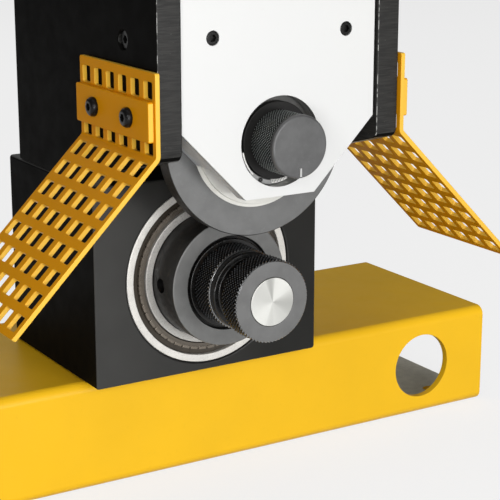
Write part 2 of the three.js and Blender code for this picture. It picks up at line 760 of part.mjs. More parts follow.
function makeFrontCheek() {
  const front = -facePlateFront;
  const plateBack = front + facePlateThickness;
  let plate = extruded(ramShape(ramTopZ), 'xz', front, plateBack);
  plate = plate.subtract(rod(knobBoreRadius, front - overrun, plateBack + overrun, 'y', rollAxis, fine));
  plate = cutAll(plate, faceScrewHoles(faceScrewHeadRadius + running, front - overrun, plateBack + overrun));
  piece(head, 'face_plate', plate, whitePaint);

  const recessRadius = landRadius + recessWall;
  const floorY = cheekFront + recessFloorFromFace;
  const recess = [[0, cheekBack + overrun], [recessRadius, cheekBack + overrun]];
  for (let step = 0; step <= 2; step += 1) {
    const angle = (Math.PI / 4) * step;
    recess.push([
      recessRadius - recessFillet + recessFillet * Math.cos(angle),
      floorY + recessFillet - recessFillet * Math.sin(angle)]);
  }
  recess.push([bossRadius, floorY], [bossRadius, bossEndY], [0, bossEndY]);
  const headFloor = front + faceScrewHeadLength + running;
  const cuts = [
    rod(knobBoreRadius, cheekFront - overrun, knobFloorY, 'y', rollAxis, fine),
    rod(axleRadius + seat, knobFloorY - overrun, cheekBack + overrun, 'y', rollAxis, medium),
    turned(recess, 'y', rollAxis, fine),
    ...faceScrewHoles(faceScrewHeadRadius + running, cheekFront - overrun, headFloor),
    ...faceScrewHoles(faceScrewRadius + running, front, cheekBack + overrun)];
  const cheek = cutAll(extruded(ramShape(ramTopZ), 'xz', cheekFront, cheekBack), cuts);
  piece(head, 'front_cheek', cheek, blackPaint);
  for (const [name, x] of [['left', -faceScrewX], ['right', faceScrewX]]) {
    const screw = socketScrew('y', [x, 0, faceScrewZ], front, faceScrewHeadLength, faceScrewHeadRadius,
      front + faceScrewLength, faceScrewRadius);
    piece(head, `face_screw_${name}`, screw, blackedSteel);
  }
}

function makeSpacerAndRearCheek() {
  const arch = rod(upperRollRadius + rollArchClearance, spacerFront - overrun, spacerBack + overrun, 'y',
    rollAxis, fine);
  const screwEnd = -facePlateFront + faceScrewLength + tipGap;
  const holes = faceScrewHoles(faceScrewRadius + running, spacerFront - overrun, screwEnd);
  const spacer = extruded(outline(rectangle(-spacerHalfWidth, spacerHalfWidth, spacerLowZ, ramTopZ)), 'xz',
    spacerFront, spacerBack);
  piece(head, 'ram_spacer', cutAll(spacer, [arch, ...holes]), blackedSteel);

  const notch = [-1, 1].map((side) => {
    const span = between(side * spacerHalfWidth, side * (ramHalfWidth + overrun));
    return block(...span, rearCheekFront - overrun, -keyRearFromBlock + running, 0, ramTopZ + overrun);
  });
  const counterbore = rod(rearWasherRadius + running, rearCheekFront - overrun,
    rearCheekFront + washerThickness - running, 'y', rollAxis, medium);
  const axleHole = rod(axleRadius + seat, rearCheekFront - overrun, rearCheekBack + overrun, 'y', rollAxis,
    medium);
  const cheek = extruded(ramShape(ramTopZ), 'xz', rearCheekFront, rearCheekBack);
  piece(head, 'rear_cheek', cutAll(cheek, [...notch, counterbore, axleHole, ...holes]), blackPaint);

  const z = ramTopZ + seat;
  const half = ramHeadHalfWidth;
  const headBlock = block(-half, half, cheekFront, rearCheekBack, z, z + ramHeadThickness);
  piece(head, 'ram_head', headBlock, blackedSteel);
}

// Axle, washers, bush and upper roll
function makeUpperRoll() {
  const headY = rearCheekBack + seat;
  const axle = [
    [0, knobFloorY + seat], [axleRadius, knobFloorY + seat], [axleRadius, headY], [axleHeadRadius, headY],
    [axleHeadRadius, headY + axleHeadLength], [0, headY + axleHeadLength]];
  const socket = rod(spindleRadius + running, knobFloorY - overrun, knobFloorY + spindleDepth + overrun, 'y',
    rollAxis, medium);
  piece(head, 'roll_axle', turned(axle, 'y', rollAxis, medium).subtract(socket), groundSteel);

  const bore = axleRadius + running;
  const washer = (radius, low, segments) =>
    tube(bore, radius, low, low + washerThickness, 'y', rollAxis, segments);
  piece(head, 'front_thrust_washer', washer(frontWasherRadius, washerFrontY, fine), groundSteel);
  const rearWasherY = rearCheekFront - 2 * running;
  piece(head, 'rear_thrust_washer', washer(rearWasherRadius, rearWasherY, medium), bronze);

  const bushOuter = axleRadius + bushWall;
  const landY = rollFaceY - landHeight;
  piece(head, 'roll_bush', tube(bore, bushOuter, landY, rollBackY, 'y', rollAxis, medium), bronze);
  const rollProfile = [
    [bushOuter + seat, landY], [landRadius, landY], [landRadius, rollFaceY],
    [upperRollRadius - upperRollEdge, rollFaceY], [upperRollRadius, rollFaceY + upperRollEdge],
    [upperRollRadius, rollBackY - upperRollEdge], [upperRollRadius - upperRollEdge, rollBackY],
    [bushOuter + seat, rollBackY], [bushOuter + seat, landY]];
  piece(head, 'upper_roll', turned(rollProfile, 'y', rollAxis, fine), rollSteel);
}

// Depth knob with its skirt, and the fixed dial ring and stop plate in the bore
function makeKnob() {
  const front = -facePlateFront - knobProud;
  const collar = skirtFrontY - knobPlainCollar;
  const core = knobRadius - knobToothDepth - seat;
  const profile = [
    [0, front], [knobRadius - knobEdge, front], [core, front + knobEdge], [core, skirtFrontY],
    [skirtRadius, skirtFrontY], [skirtRadius, skirtBackY], [spindleRadius, skirtBackY],
    [spindleRadius, knobFloorY + spindleDepth], [0, knobFloorY + spindleDepth]];
  const teeth = toothedBand(knobRadius, knobToothDepth, knobTeeth, front + knobEdge, collar);
  const turnedKnob = turned(profile, 'y', rollAxis, knobTeeth).add(teeth.translate(rollAxis));
  const index = block(-knobIndexWidth / 2, knobIndexWidth / 2, front - overrun, front + knobIndexDepth,
    rollAxisZ - knobRadius - overrun, rollAxisZ - knobRadius + knobIndexLength);
  piece(head, 'depth_knob', turnedKnob.subtract(index), blackedSteel);
}

function makeDial() {
  const back = knobFloorY - seat;
  const dial = tube(dialInnerRadius, knobBoreRadius - seat, dialTopY, back, 'y', rollAxis, fine);
  piece(head, 'dial_ring', dial, groundSteel);

  const outerRadius = knobBoreRadius - running;
  const [start, end] = [2 * Math.PI * stopStartShare, 2 * Math.PI * stopEndShare];
  const shape = new THREE.Shape();
  shape.absarc(0, 0, outerRadius, start, end, false);
  shape.absarc(0, 0, stopInnerRadius, end, start, true);
  const plateBack = dialTopY - seat;
  const plateFront = plateBack - stopPlateThickness;
  const middle = (start + end) / 2;
  const screwReach = (outerRadius + stopInnerRadius) / 2;
  const centre = [screwReach * Math.cos(middle), 0, rollAxisZ + screwReach * Math.sin(middle)];
  const plate = extruded(shape, 'xz', plateFront, plateBack, 0, arcSteps).translate(rollAxis)
    .subtract(rod(stopScrewRadius / 2 + seat, plateFront - overrun, plateBack + overrun, 'y', centre, small));
  piece(head, 'dial_stop_plate', plate, groundSteel);
  const screw = [
    [0, plateFront - seat - stopScrewHeight], [stopScrewRadius, plateFront - seat - stopScrewHeight],
    [stopScrewRadius, plateFront - seat], [stopScrewRadius / 2, plateFront - seat],
    [stopScrewRadius / 2, plateBack], [0, plateBack]];
  piece(head, 'stop_plate_screw', turned(screw, 'y', centre, small), blackedSteel);
}

// Guard: a sheet whose wing leaves the machine at the fold, punched with square holes at one pitch
const guardFold = 2 * Math.PI * guardTurnShare;
const bendReach = guardBendRadius * Math.tan(guardFold / 2);  // from the fold line to each end of the bend
const downWing = new THREE.Vector2(Math.sin(guardFold), -Math.cos(guardFold));
const offWing = new THREE.Vector2(Math.cos(guardFold), Math.sin(guardFold));

function guardSheet() {
  const centre = new THREE.Vector2(guardOuterX + guardBendRadius, guardFoldZ + bendReach);
  const side = (radius) => {
    const points = [];
    for (let step = 0; step <= arcSteps; step += 1) {
      const angle = Math.PI + (guardFold * step) / arcSteps;
      points.push(new THREE.Vector2(Math.cos(angle), Math.sin(angle)).multiplyScalar(radius).add(centre));
    }
    points.push(points.at(-1).clone().addScaledVector(downWing, guardWingLength - bendReach));
    return points.map((point) => point.toArray());
  };
  const inner = side(guardBendRadius + guardThickness);
  const outer = side(guardBendRadius).reverse();
  const profile = [[guardInnerX, guardTopZ], ...inner, ...outer, [guardOuterX, guardTopZ]];
  return extruded(outline(profile), 'xz', -guardFrontFromBlock, guardLength - guardFrontFromBlock);
}

function guardCuts() {
  const firstColumn = -guardFrontFromBlock + guardLength / 2 - (guardPitch * (guardColumns - 1)) / 2;
  const half = guardHole / 2;
  const square = (y, up) => outline(rectangle(y - half, y + half, up - half, up + half));
  const onWing = new THREE.Matrix4().makeBasis(
    new THREE.Vector3(0, 1, 0), new THREE.Vector3(-downWing.x, 0, -downWing.y),
    new THREE.Vector3(offWing.x, 0, offWing.y));
  onWing.setPosition(guardOuterX, 0, guardFoldZ);
  const cuts = [];
  for (let column = 0; column < guardColumns; column += 1) {
    const y = firstColumn + guardPitch * column;
    for (const row of [0, 2]) {
      const z = guardTopZ - guardTopRowFromEdge - guardPitch * row;
      cuts.push(extruded(square(y, z), 'yz', guardInnerX - overrun, guardOuterX + overrun));
    }
    for (let row = 0; row < guardWingRows; row += 1) {
      const options = { depth: guardThickness + 2 * overrun, bevelEnabled: false };
      const punch = new THREE.ExtrudeGeometry(square(y, -guardFirstWingRow - guardPitch * row), options);
      cuts.push(solid(punch.translate(0, 0, -guardThickness - overrun).applyMatrix4(onWing)));
    }
  }
  for (const y of barScrewPlaces()) {
    const slot = new THREE.Shape();
    slot.absarc(y, barCentreZ + guardSlotTravel + seat, guardSlotRadius, 0, Math.PI, false);
    slot.absarc(y, barCentreZ - guardSlotTravel - seat, guardSlotRadius, Math.PI, 2 * Math.PI, false);
    cuts.push(extruded(slot, 'yz', guardInnerX - overrun, guardOuterX + overrun, 0, arcSteps));
  }
  return cuts;
}

function makeGuard(name, side) {
  const punched = guardSheet().subtract(joinAll(guardCuts()));
  piece(head, `guard_${name}`, side < 0 ? punched.mirror([1, 0, 0]) : punched, yellowPaint);
}

// Clamp bar over the guard's upright, with two button-head screws into the side plate
function makeClampBar(name, side) {
  const middle = -guardFrontFromBlock + guardLength / 2;
  const [low, high] = [barCentreZ - barHeight / 2, barCentreZ + barHeight / 2];
  const shape = outline(rectangle(middle - barLength / 2, middle + barLength / 2, low, high));
  const span = between(side * barInnerX, side * (barInnerX + barThickness));
  let bar = extruded(shape, 'yz', ...span, barEdge);
  const labels = ['front', 'rear'];
  barScrewPlaces().forEach((y, i) => {
    const centre = [0, y, barCentreZ];
    const through = between(side * (barInnerX - overrun), side * (barInnerX + barThickness + overrun));
    bar = bar.subtract(rod(barScrewRadius + running, ...through, 'x', centre, small));
    const under = barInnerX + barThickness + seat;
    const top = under + barScrewHeadHeight;
    const tip = plateOuterX - barScrewGrip + tipGap;
    const profile = [
      [0, side * tip], [barScrewRadius, side * tip], [barScrewRadius, side * under],
      [barScrewHeadRadius, side * under], [barScrewHeadRadius, side * (under + barScrewRimHeight)],
      [barScrewShoulderRadius, side * (under + barScrewShoulderHeight)], [barScrewCrownRadius, side * top],
      [0, side * top]];
    const socket = between(side * (top - socketDepth), side * (top + overrun));
    const hex = hexPrism(socketRadius, ...socket, 'x', centre);
    const screw = turned(profile, 'x', centre, small).subtract(hex);
    piece(head, `guard_screw_${name}_${labels[i]}`, screw, blackedSteel);
  });
  piece(head, `clamp_bar_${name}`, bar, yellowPaint);
}

// Hydraulic cylinder on the crown, its gland, and the piston rod that pushes the ram
const glandTopZ = cylinderLowZ + seat + glandHeight;
const pistonLowZ = glandTopZ + running + ramClosing;

function makeCylinder() {
  const top = cylinderLowZ + cylinderHeight;
  const boreTop = top - cylinderCrown;
  const profile = [
    [cylinderBoreRadius, cylinderLowZ], [cylinderFlangeRadius, cylinderLowZ],
    [cylinderFlangeRadius, cylinderLowZ + cylinderFlangeHeight],
    [cylinderRadius, cylinderLowZ + cylinderFlangeHeight], [cylinderRadius, top - cylinderTopChamfer],
    [cylinderRadius - cylinderTopChamfer, top], [0, top], [0, boreTop], [cylinderBoreRadius, boreTop],
    [cylinderBoreRadius, cylinderLowZ]];
  const filler = [fillerFromAxis, rodY, 0];
  const hole = rod(fillerRadius / 2 + running, top - fillerStem - running, top + overrun, 'z', filler, small);
  piece(head, 'cylinder_body', turned(profile, 'z', [0, rodY, 0], medium).subtract(hole), blackPaint);
  const plug = hexPrism(fillerRadius, top + seat, top + seat + fillerHeight, 'z', filler)
    .add(rod(fillerRadius / 2, top - fillerStem, top + seat + overrun, 'z', filler, small));
  piece(head, 'filler_plug', plug, groundSteel);
  const gland = tube(rodRadius + running, cylinderBoreRadius - seat, cylinderLowZ + seat, glandTopZ, 'z',
    [0, rodY, 0], medium);
  piece(head, 'gland_ring', gland, bronze);
  const rodLow = ramTopZ + 2 * seat + ramHeadThickness;
  const pistonProfile = [
    [0, rodLow], [rodRadius, rodLow], [rodRadius, pistonLowZ], [cylinderBoreRadius - running, pistonLowZ],
    [cylinderBoreRadius - running, pistonLowZ + pistonThickness], [0, pistonLowZ + pistonThickness]];
  piece(head, 'piston_rod', turned(pistonProfile, 'z', [0, rodY, 0], medium), groundSteel);
}

// Hand pump: block with two ears, plunger, lever with a toe that pushes it, grip, release knob
function makePump() {
  const low = plateTopZ + seat;
  const top = low + pumpHeight;
  const rear = pumpFrontFromBlock + pumpDepth;
  const half = pumpWidth / 2;
  const plungerY = pumpPivotY - plungerFromPivot;
  const base = extruded(outline(rectangle(-half, half, low, top)), 'xz', pumpFrontFromBlock, rear, pumpEdge);
  const ears = [-1, 1].map((side) => {
    const span = between(side * earGap / 2, side * (earGap / 2 + earThickness));
    const [earFront, earRear] = [pumpPivotY - earDepth / 2, pumpPivotY + earDepth / 2];
    const corners = rectangle(earFront, earRear, top - pumpEdge, top + earHeight);
    return extruded(roundedOutline(corners, [0, 0, earCorner, earCorner]), 'yz', ...span);
  });
  const pivot = [0, pumpPivotY, pumpPivotZ];
  const pinHole = rod(pinRadius + seat, -half, half, 'x', pivot, small);
  const plungerAxis = [0, plungerY, 0];
  const bore = rod(plungerRadius + running, top - plungerBoreDepth, top + overrun, 'z', plungerAxis, small);
  const release = [0, pumpFrontFromBlock + pumpDepth / 2, low + releaseRise];
  const stemHole = rod(releaseStemRadius + running, half - releaseStemDepth - tipGap, half + overrun, 'x',
    release, small);
  piece(head, 'pump_block', cutAll(joinAll([base, ...ears]), [pinHole, bore, stemHole]), blackPaint);

  const pinEnd = earGap / 2 + earThickness + pinProud;
  piece(head, 'lever_pin', rod(pinRadius, -pinEnd, pinEnd, 'x', pivot, small), groundSteel);

  const toeZ = pumpPivotZ - toeDeep / 2;
  const plungerTop = toeZ - running;
  const plunger = rod(plungerRadius, top - plungerDepth, plungerTop, 'z', plungerAxis, small);
  piece(head, 'pump_plunger', plunger, groundSteel);

  const lean = 2 * Math.PI * leverTurnShare;
  const hub = rod(leverHubRadius, -leverWidth / 2, leverWidth / 2, 'x', [0, 0, 0], medium);
  const armHalf = leverArmDeep / 2;
  const arm = block(-leverWidth / 2, leverWidth / 2, -leverLength, 0, -armHalf, armHalf)
    .rotate([-THREE.MathUtils.radToDeg(lean), 0, 0]);
  const toe = block(-leverWidth / 2, leverWidth / 2, -toeLength, 0, -toeDeep / 2, toeDeep / 2);
  const eye = rod(pinRadius + running, -leverWidth, leverWidth, 'x', [0, 0, 0], small);
  const lever = joinAll([hub, arm, toe]).subtract(eye);
  piece(head, 'pump_lever', lever.translate(pivot), blackedSteel);

  const sleeve = block(-leverWidth / 2 - seat, leverWidth / 2 + seat, -leverLength - seat,
    overrun - leverLength + gripLength, -armHalf - seat, armHalf + seat);
  const gripEnd = -leverLength - gripWall;
  const gripProfile = [
    [0, gripEnd], [gripRadius - gripEdge, gripEnd], [gripRadius, gripEnd + gripEdge],
    [gripRadius, gripEnd + gripLength - gripEdge], [gripRadius - gripEdge, gripEnd + gripLength],
    [0, gripEnd + gripLength]];
  const grip = turned(gripProfile, 'y', [0, 0, 0], small).subtract(sleeve)
    .rotate([-THREE.MathUtils.radToDeg(lean), 0, 0]).translate(pivot);
  piece(head, 'lever_grip', grip, rubber);

  const points = [];
  for (let i = 0; i < 4 * releaseLobes; i += 1) {
    const angle = (2 * Math.PI * i) / (4 * releaseLobes);
    const reach = releaseKnobRadius - releaseLobeDepth * (0.5 - 0.5 * Math.cos(releaseLobes * angle));
    points.push([reach * Math.cos(angle), reach * Math.sin(angle)]);
  }
  const knob = extruded(outline(points), 'yz', half + 2 * seat, half + releaseKnobLength, knobEdge)
    .translate(release);
  const stem = rod(releaseStemRadius, half - releaseStemDepth, half + 2 * knobEdge, 'x', release, small);
  piece(head, 'release_knob', knob.add(stem), blackedSteel);
}

makeBase();
makeBlock();
makeBlockBolts();
makeFrontBearing();
makeRearBearing();
makeDriveShaft();
makeSetScrew();
makeShaftNut();
makeDriveRoll();
makeEndDisc();
makeDrawBolt();
makeSidePlates();
makeBackAndCrown();
makeGuideKeys();
makeFrontCheek();
makeSpacerAndRearCheek();
makeUpperRoll();
makeKnob();
makeDial();
for (const [name, side] of [['left', -1], ['right', 1]]) {
  makeGuard(name, side);
  makeClampBar(name, side);
}
makeCylinder();
makePump();

export default machine;
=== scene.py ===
"""The looks of the roll grooving machine: turned, bevelled and knurled pieces over the solid model, with
procedural finishes, soft studio light and the photograph's camera. The pieces' lengths are millimetres."""

from math import acos, atan2, cos, hypot, pi, radians, sin, sqrt, tan

import bmesh
import bpy
from mathutils import Matrix, Vector

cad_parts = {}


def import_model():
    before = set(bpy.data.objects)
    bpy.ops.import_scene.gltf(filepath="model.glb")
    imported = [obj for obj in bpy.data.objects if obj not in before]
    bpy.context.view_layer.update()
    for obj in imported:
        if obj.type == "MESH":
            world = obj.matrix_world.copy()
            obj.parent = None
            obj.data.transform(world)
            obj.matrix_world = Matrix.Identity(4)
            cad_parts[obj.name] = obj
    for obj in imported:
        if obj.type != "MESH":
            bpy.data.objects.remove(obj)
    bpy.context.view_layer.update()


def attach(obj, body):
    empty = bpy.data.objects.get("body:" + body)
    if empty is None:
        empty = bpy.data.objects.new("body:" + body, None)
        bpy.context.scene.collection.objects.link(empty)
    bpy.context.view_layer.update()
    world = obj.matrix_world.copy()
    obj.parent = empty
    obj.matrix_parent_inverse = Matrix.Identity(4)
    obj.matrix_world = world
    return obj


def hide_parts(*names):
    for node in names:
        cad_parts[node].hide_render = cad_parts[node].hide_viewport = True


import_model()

MM = 0.001
SHAFT_AT = Vector((0.0, -85.5, 126.5))  # the drive shaft's axis at the bearing block's front face
ROLL_Z = 91.6  # the upper roll's axis above the drive shaft's
SHARP = radians(34)
SIDES = (("left", -1), ("right", 1))


# Outlines.


def arc(cx, cy, radius, angles):
    return [(cx + radius * cos(a), cy + radius * sin(a)) for a in angles]


def circle(cx, cy, radius, count):
    turn = 2 * pi / count
    return arc(cx, cy, radius, [turn * i for i in range(count)])


def box_loop(x0, x1, y0, y1):
    return [(x0, y0), (x1, y0), (x1, y1), (x0, y1)]


def soften(points, radii, steps, closed=True):
    """The outline with its corners rounded; radii is one radius, or one for each point."""
    count = len(points)
    if not hasattr(radii, "__len__"):
        radii = [radii] * count
    rounded = []
    for i, point in enumerate(points):
        here = Vector(point)
        if radii[i] <= 0 or (not closed and i in (0, count - 1)):
            rounded.append(tuple(here))
            continue
        before = Vector(points[i - 1]) - here
        after = Vector(points[(i + 1) % count]) - here
        half = before.angle(after, pi) / 2
        if half > pi / 2 - 0.01 or half < 0.01:
            rounded.append(tuple(here))
            continue
        reach = min(radii[i] / tan(half), before.length * 0.49, after.length * 0.49)
        radius = reach * tan(half)
        before.normalize()
        after.normalize()
        centre = here + (before + after).normalized() * (radius / sin(half))
        start = here + before * reach - centre
        end = here + after * reach - centre
        turn = atan2(start.x * end.y - start.y * end.x, start.dot(end))
        for step in range(steps + 1):
            spoke = start.copy()
            spoke.rotate(Matrix.Rotation(turn * step / steps, 2))
            rounded.append(tuple(centre + spoke))
    return rounded


# Closed shapes, each a bmesh in millimetres.


def rows(*values):
    """A 4 by 4 matrix from its first three rows, with no shift."""
    return Matrix([(*row, 0) for row in values] + [(0, 0, 0, 1)])


# Where a flat sheet's own x, y and depth go, and where the line that a piece is turned on goes.
PLANES = {"xy": rows((1, 0, 0), (0, 1, 0), (0, 0, 1)),
          "xz": rows((1, 0, 0), (0, 0, 1), (0, 1, 0)),
          "yz": rows((0, 0, 1), (1, 0, 0), (0, 1, 0))}
AXES = {"y": rows((1, 0, 0), (0, 1, 0), (0, 0, 1)),
        "x": rows((0, 1, 0), (1, 0, 0), (0, 0, 1)),
        "z": rows((1, 0, 0), (0, 0, 1), (0, 1, 0))}


def moved(part, matrix):
    bmesh.ops.transform(part, matrix=matrix, verts=part.verts)
    return part


def swung(part, angle):
    return moved(part, Matrix.Rotation(angle, 4, "Y"))


def flat_sheet(outer, holes=()):
    """A flat face inside the outline and outside the holes, as triangles."""
    part = bmesh.new()
    edges = []
    for loop in (outer, *holes):
        corners = [part.verts.new((x, y, 0)) for x, y in loop]
        edges += [part.edges.new((corners[i - 1], corners[i])) for i in range(len(corners))]
    bmesh.ops.triangle_fill(part, edges=edges, use_beauty=True)
    return part


def thickened(part, low, high, edge):
    """A flat sheet raised into a plate between two depths, its rims rounded by edge."""
    raised = bmesh.ops.extrude_face_region(part, geom=part.faces[:])["geom"]
    top = [g for g in raised if isinstance(g, bmesh.types.BMVert)]
    bmesh.ops.translate(part, vec=(0, 0, high - low), verts=top)
    bmesh.ops.translate(part, vec=(0, 0, low), verts=part.verts)
    bmesh.ops.recalc_face_normals(part, faces=part.faces)
    if edge:
        rims = [e for e in part.edges
                if e.calc_face_angle(0) > 1 and abs(e.verts[0].co.z - e.verts[1].co.z) < 1e-6]
        bmesh.ops.bevel(part, geom=rims, offset=edge, offset_type="OFFSET", segments=3, profile=0.5,
                        affect="EDGES", material=-1)
    return part


def plate(outer, holes, low, high, plane, edge):
    return moved(thickened(flat_sheet(outer, holes), low, high, edge), PLANES[plane])


def turned(profile, axis="y", centre=(0, 0, 0), count=96):
    """A turned piece. The profile is (radius, place along the axis), and closes on itself or on the axis."""
    part = bmesh.new()
    corners = [part.verts.new((radius, along, 0)) for radius, along in profile]
    edges = [part.edges.new((corners[i - 1], corners[i])) for i in range(len(corners))
             if corners[i - 1].co.x > 1e-6 or corners[i].co.x > 1e-6]
    bmesh.ops.spin(part, geom=corners + edges, cent=(0, 0, 0), axis=(0, 1, 0), dvec=(0, 0, 0),
                   angle=2 * pi, steps=count, use_merge=True)
    bmesh.ops.remove_doubles(part, verts=part.verts, dist=1e-5)
    return moved(part, Matrix.Translation(centre) @ AXES[axis])


def lathed(profile, radii, steps, axis="y", centre=(0, 0, 0), count=96):
    """A turned piece whose profile starts and ends on the axis, its corners rounded."""
    return turned(soften(profile, radii, steps, closed=False), axis, centre, count)


def rod(radius, low, high, axis, centre, edge=0.3, count=64):
    return lathed([(0, low), (radius, low), (radius, high), (0, high)], edge, 3, axis, centre, count)


def ring(inner, outer, low, high, axis="y", centre=(0, 0, 0), edge=0.3, count=96):
    corners = [(inner, low), (outer, low), (outer, high), (inner, high)]
    return turned(soften(corners, edge, 3), axis, centre, count)


def box(x0, x1, y0, y1, z0, z1, edge):
    return plate(box_loop(x0, x1, y0, y1), [], z0, z1, "xy", edge)


def joined(first, *others):
    for other in others:
        spare = bpy.data.meshes.new("spare")
        other.to_mesh(spare)
        other.free()
        first.from_mesh(spare)
        bpy.data.meshes.remove(spare)
    return first


# Objects.


def object_of(name, part, origin):
    moved(part, Matrix.Scale(MM, 4) @ Matrix.Translation(origin))
    bmesh.ops.remove_doubles(part, verts=part.verts, dist=1e-7)
    bmesh.ops.recalc_face_normals(part, faces=part.faces)
    mesh = bpy.data.meshes.new(name)
    part.to_mesh(mesh)
    part.free()
    obj = bpy.data.objects.new(name, mesh)
    bpy.context.scene.collection.objects.link(obj)
    return obj


def settle(obj):
    """Keeps what the object's modifiers make of it as its own mesh."""
    bpy.context.view_layer.update()
    result = bpy.data.meshes.new_from_object(obj.evaluated_get(bpy.context.evaluated_depsgraph_get()))
    obj.modifiers.clear()
    obj.data = result


def carve(obj, cutters, origin):
    """Cuts closed parts out of an object, and leaves it a plain mesh."""
    for i, cutter in enumerate(cutters):
        tool = object_of(f"cutter_{i}", cutter, origin)
        cut = obj.modifiers.new("cut", "BOOLEAN")
        cut.operation = "DIFFERENCE"
        cut.solver = "EXACT"
        cut.object = tool
        settle(obj)
        bpy.data.objects.remove(tool)


def make(name, part, body, finish, node=None, cutters=(), bevel=0.0, origin=SHAFT_AT, sharp=SHARP):
    """A finished piece: its mesh, smooth shading with sharp creases, its finish and the body it rides on."""
    obj = object_of(name, part, origin)
    carve(obj, cutters, origin)
    slot, material = finish
    obj.data.materials.clear()
    obj.data.materials.append(material)
    if bevel:
        rims = obj.modifiers.new("rims", "BEVEL")
        rims.width = bevel * MM
        rims.segments = 2
        rims.limit_method = "ANGLE"
        rims.angle_limit = radians(38)
        rims.use_clamp_overlap = True
        settle(obj)
    obj.data.name = name
    obj.data.shade_smooth()
    obj.data.set_sharp_from_angle(angle=sharp)
    even = obj.modifiers.new("even", "WEIGHTED_NORMAL")
    even.keep_sharp = True
    even.weight = 100
    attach(obj, body)
    if node:
        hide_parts(node)
    return obj


def dress(name, part, body, finish, cutters=(), bevel=0.0, origin=SHAFT_AT):
    """The finished piece that takes the place of the solid of the same name."""
    return make(name, part, body, finish, name, cutters, bevel, origin)


def repaint(obj, finish, test):
    """Gives another finish to the faces whose centre and normal, in the head's millimetres, pass the test."""
    obj.data.materials.append(finish[1])
    index = len(obj.data.materials) - 1
    for face in obj.data.polygons:
        centre = face.center / MM - SHAFT_AT
        if test(centre, face.normal):
            face.material_index = index
    return obj


# Finishes.


class Finish:
    """A Principled material whose colour, roughness and relief come from nodes on object coordinates."""

    def __init__(self, name, colour, roughness, metallic=0.0, specular=0.5):
        self.material = bpy.data.materials.new(name)
        self.material.use_nodes = True
        self.tree = self.material.node_tree
        self.shader = next(n for n in self.tree.nodes if n.type == "BSDF_PRINCIPLED")
        self.shader.inputs["Base Color"].default_value = (*colour, 1)
        self.shader.inputs["Roughness"].default_value = roughness
        self.shader.inputs["Metallic"].default_value = metallic
        self.shader.inputs["Specular IOR Level"].default_value = specular
        self.material.diffuse_color = (*colour, 1)
        self.where = self.add("ShaderNodeTexCoord").outputs["Object"]
        self.colour = colour
        self.relief = None

    def add(self, kind, **values):
        node = self.tree.nodes.new(kind)
        for key, value in values.items():
            setattr(node, key, value)
        return node

    def link(self, source, target):
        self.tree.links.new(source, target)

    def math(self, operation, a, b=0.0):
        node = self.add("ShaderNodeMath", operation=operation)
        for socket, value in zip(node.inputs, (a, b)):
            if isinstance(value, (int, float)):
                socket.default_value = value
            else:
                self.link(value, socket)
        return node.outputs[0]

    def vector(self, operation, a, b=(0, 0, 0)):
        node = self.add("ShaderNodeVectorMath", operation=operation)
        self.link(a, node.inputs[0])
        node.inputs[1].default_value = b
        return node.outputs

    def noise(self, size, stretch=(1, 1, 1), detail=3.0, seed=0.0):
        """Noise from 0 to 1 whose lumps are about that many millimetres, times stretch along each axis."""
        place = self.add("ShaderNodeMapping")
        place.inputs["Scale"].default_value = [1 / (size * MM * s) for s in stretch]
        place.inputs["Location"].default_value = (seed, seed * 1.7, seed * 0.6)
        self.link(self.where, place.inputs["Vector"])
        node = self.add("ShaderNodeTexNoise")
        node.inputs["Scale"].default_value = 1.0
        node.inputs["Detail"].default_value = detail
        self.link(place.outputs[0], node.inputs["Vector"])
        return node.outputs["Fac"]

    def spread(self, value, low, high, start=0.0, end=1.0):
        node = self.add("ShaderNodeMapRange")
        for key, number in zip(("From Min", "From Max", "To Min", "To Max"), (low, high, start, end)):
            node.inputs[key].default_value = number
        self.link(value, node.inputs["Value"])
        return node.outputs["Result"]

    def tint(self, factor, colour):
        """Mixes that colour over what the base colour is so far."""
        base = self.shader.inputs["Base Color"]
        mix = self.add("ShaderNodeMix", data_type="RGBA")
        self.link(factor, mix.inputs["Factor"])
        first, second = [s for s in mix.inputs if s.type == "RGBA"]
        if base.links:
            self.link(base.links[0].from_socket, first)
        else:
            first.default_value = (*self.colour, 1)
        second.default_value = (*colour, 1)
        self.link(next(s for s in mix.outputs if s.type == "RGBA"), base)

    def shine(self, factor, low, high):
        self.link(self.spread(factor, 0.3, 0.7, low, high), self.shader.inputs["Roughness"])

    def bump(self, height, strength, distance):
        node = self.add("ShaderNodeBump")
        node.inputs["Strength"].default_value = strength
        node.inputs["Distance"].default_value = distance * MM
        self.link(height, node.inputs["Height"])
        if self.relief:
            self.link(self.relief, node.inputs["Normal"])
        self.relief = node.outputs["Normal"]
        self.link(self.relief, self.shader.inputs["Normal"])
        return self

    def from_axis(self, height):
        """Millimetres from the line along Y at that height above the ground, and the place seen from it."""
        place = self.add("ShaderNodeMapping")
        place.inputs["Location"].default_value = (0, 0, -height * MM)
        self.link(self.where, place.inputs["Vector"])
        parts = self.add("ShaderNodeSeparateXYZ")
        self.link(place.outputs[0], parts.inputs[0])
        square = self.math("ADD", self.math("MULTIPLY", parts.outputs["X"], parts.outputs["X"]),
                           self.math("MULTIPLY", parts.outputs["Z"], parts.outputs["Z"]))
        return self.math("DIVIDE", self.math("SQRT", square), MM), place.outputs[0]


def scaled(colour, by):
    return tuple(c * by for c in colour)


def yellow_finish(name, colour, specular):
    """Yellow powder coat: a low orange-peel relief, faint clouds and a few dull scuffs."""
    f = Finish(name, colour, 0.34, specular=specular)
    f.tint(f.spread(f.noise(40), 0.35, 0.75), scaled(colour, 0.95))
    f.tint(f.spread(f.noise(3, detail=5), 0.62, 0.8, 0, 0.3), scaled(colour, 0.86))
    f.shine(f.noise(12), 0.34, 0.44)
    return f.bump(f.noise(1.1, detail=1), 0.2, 0.05).material


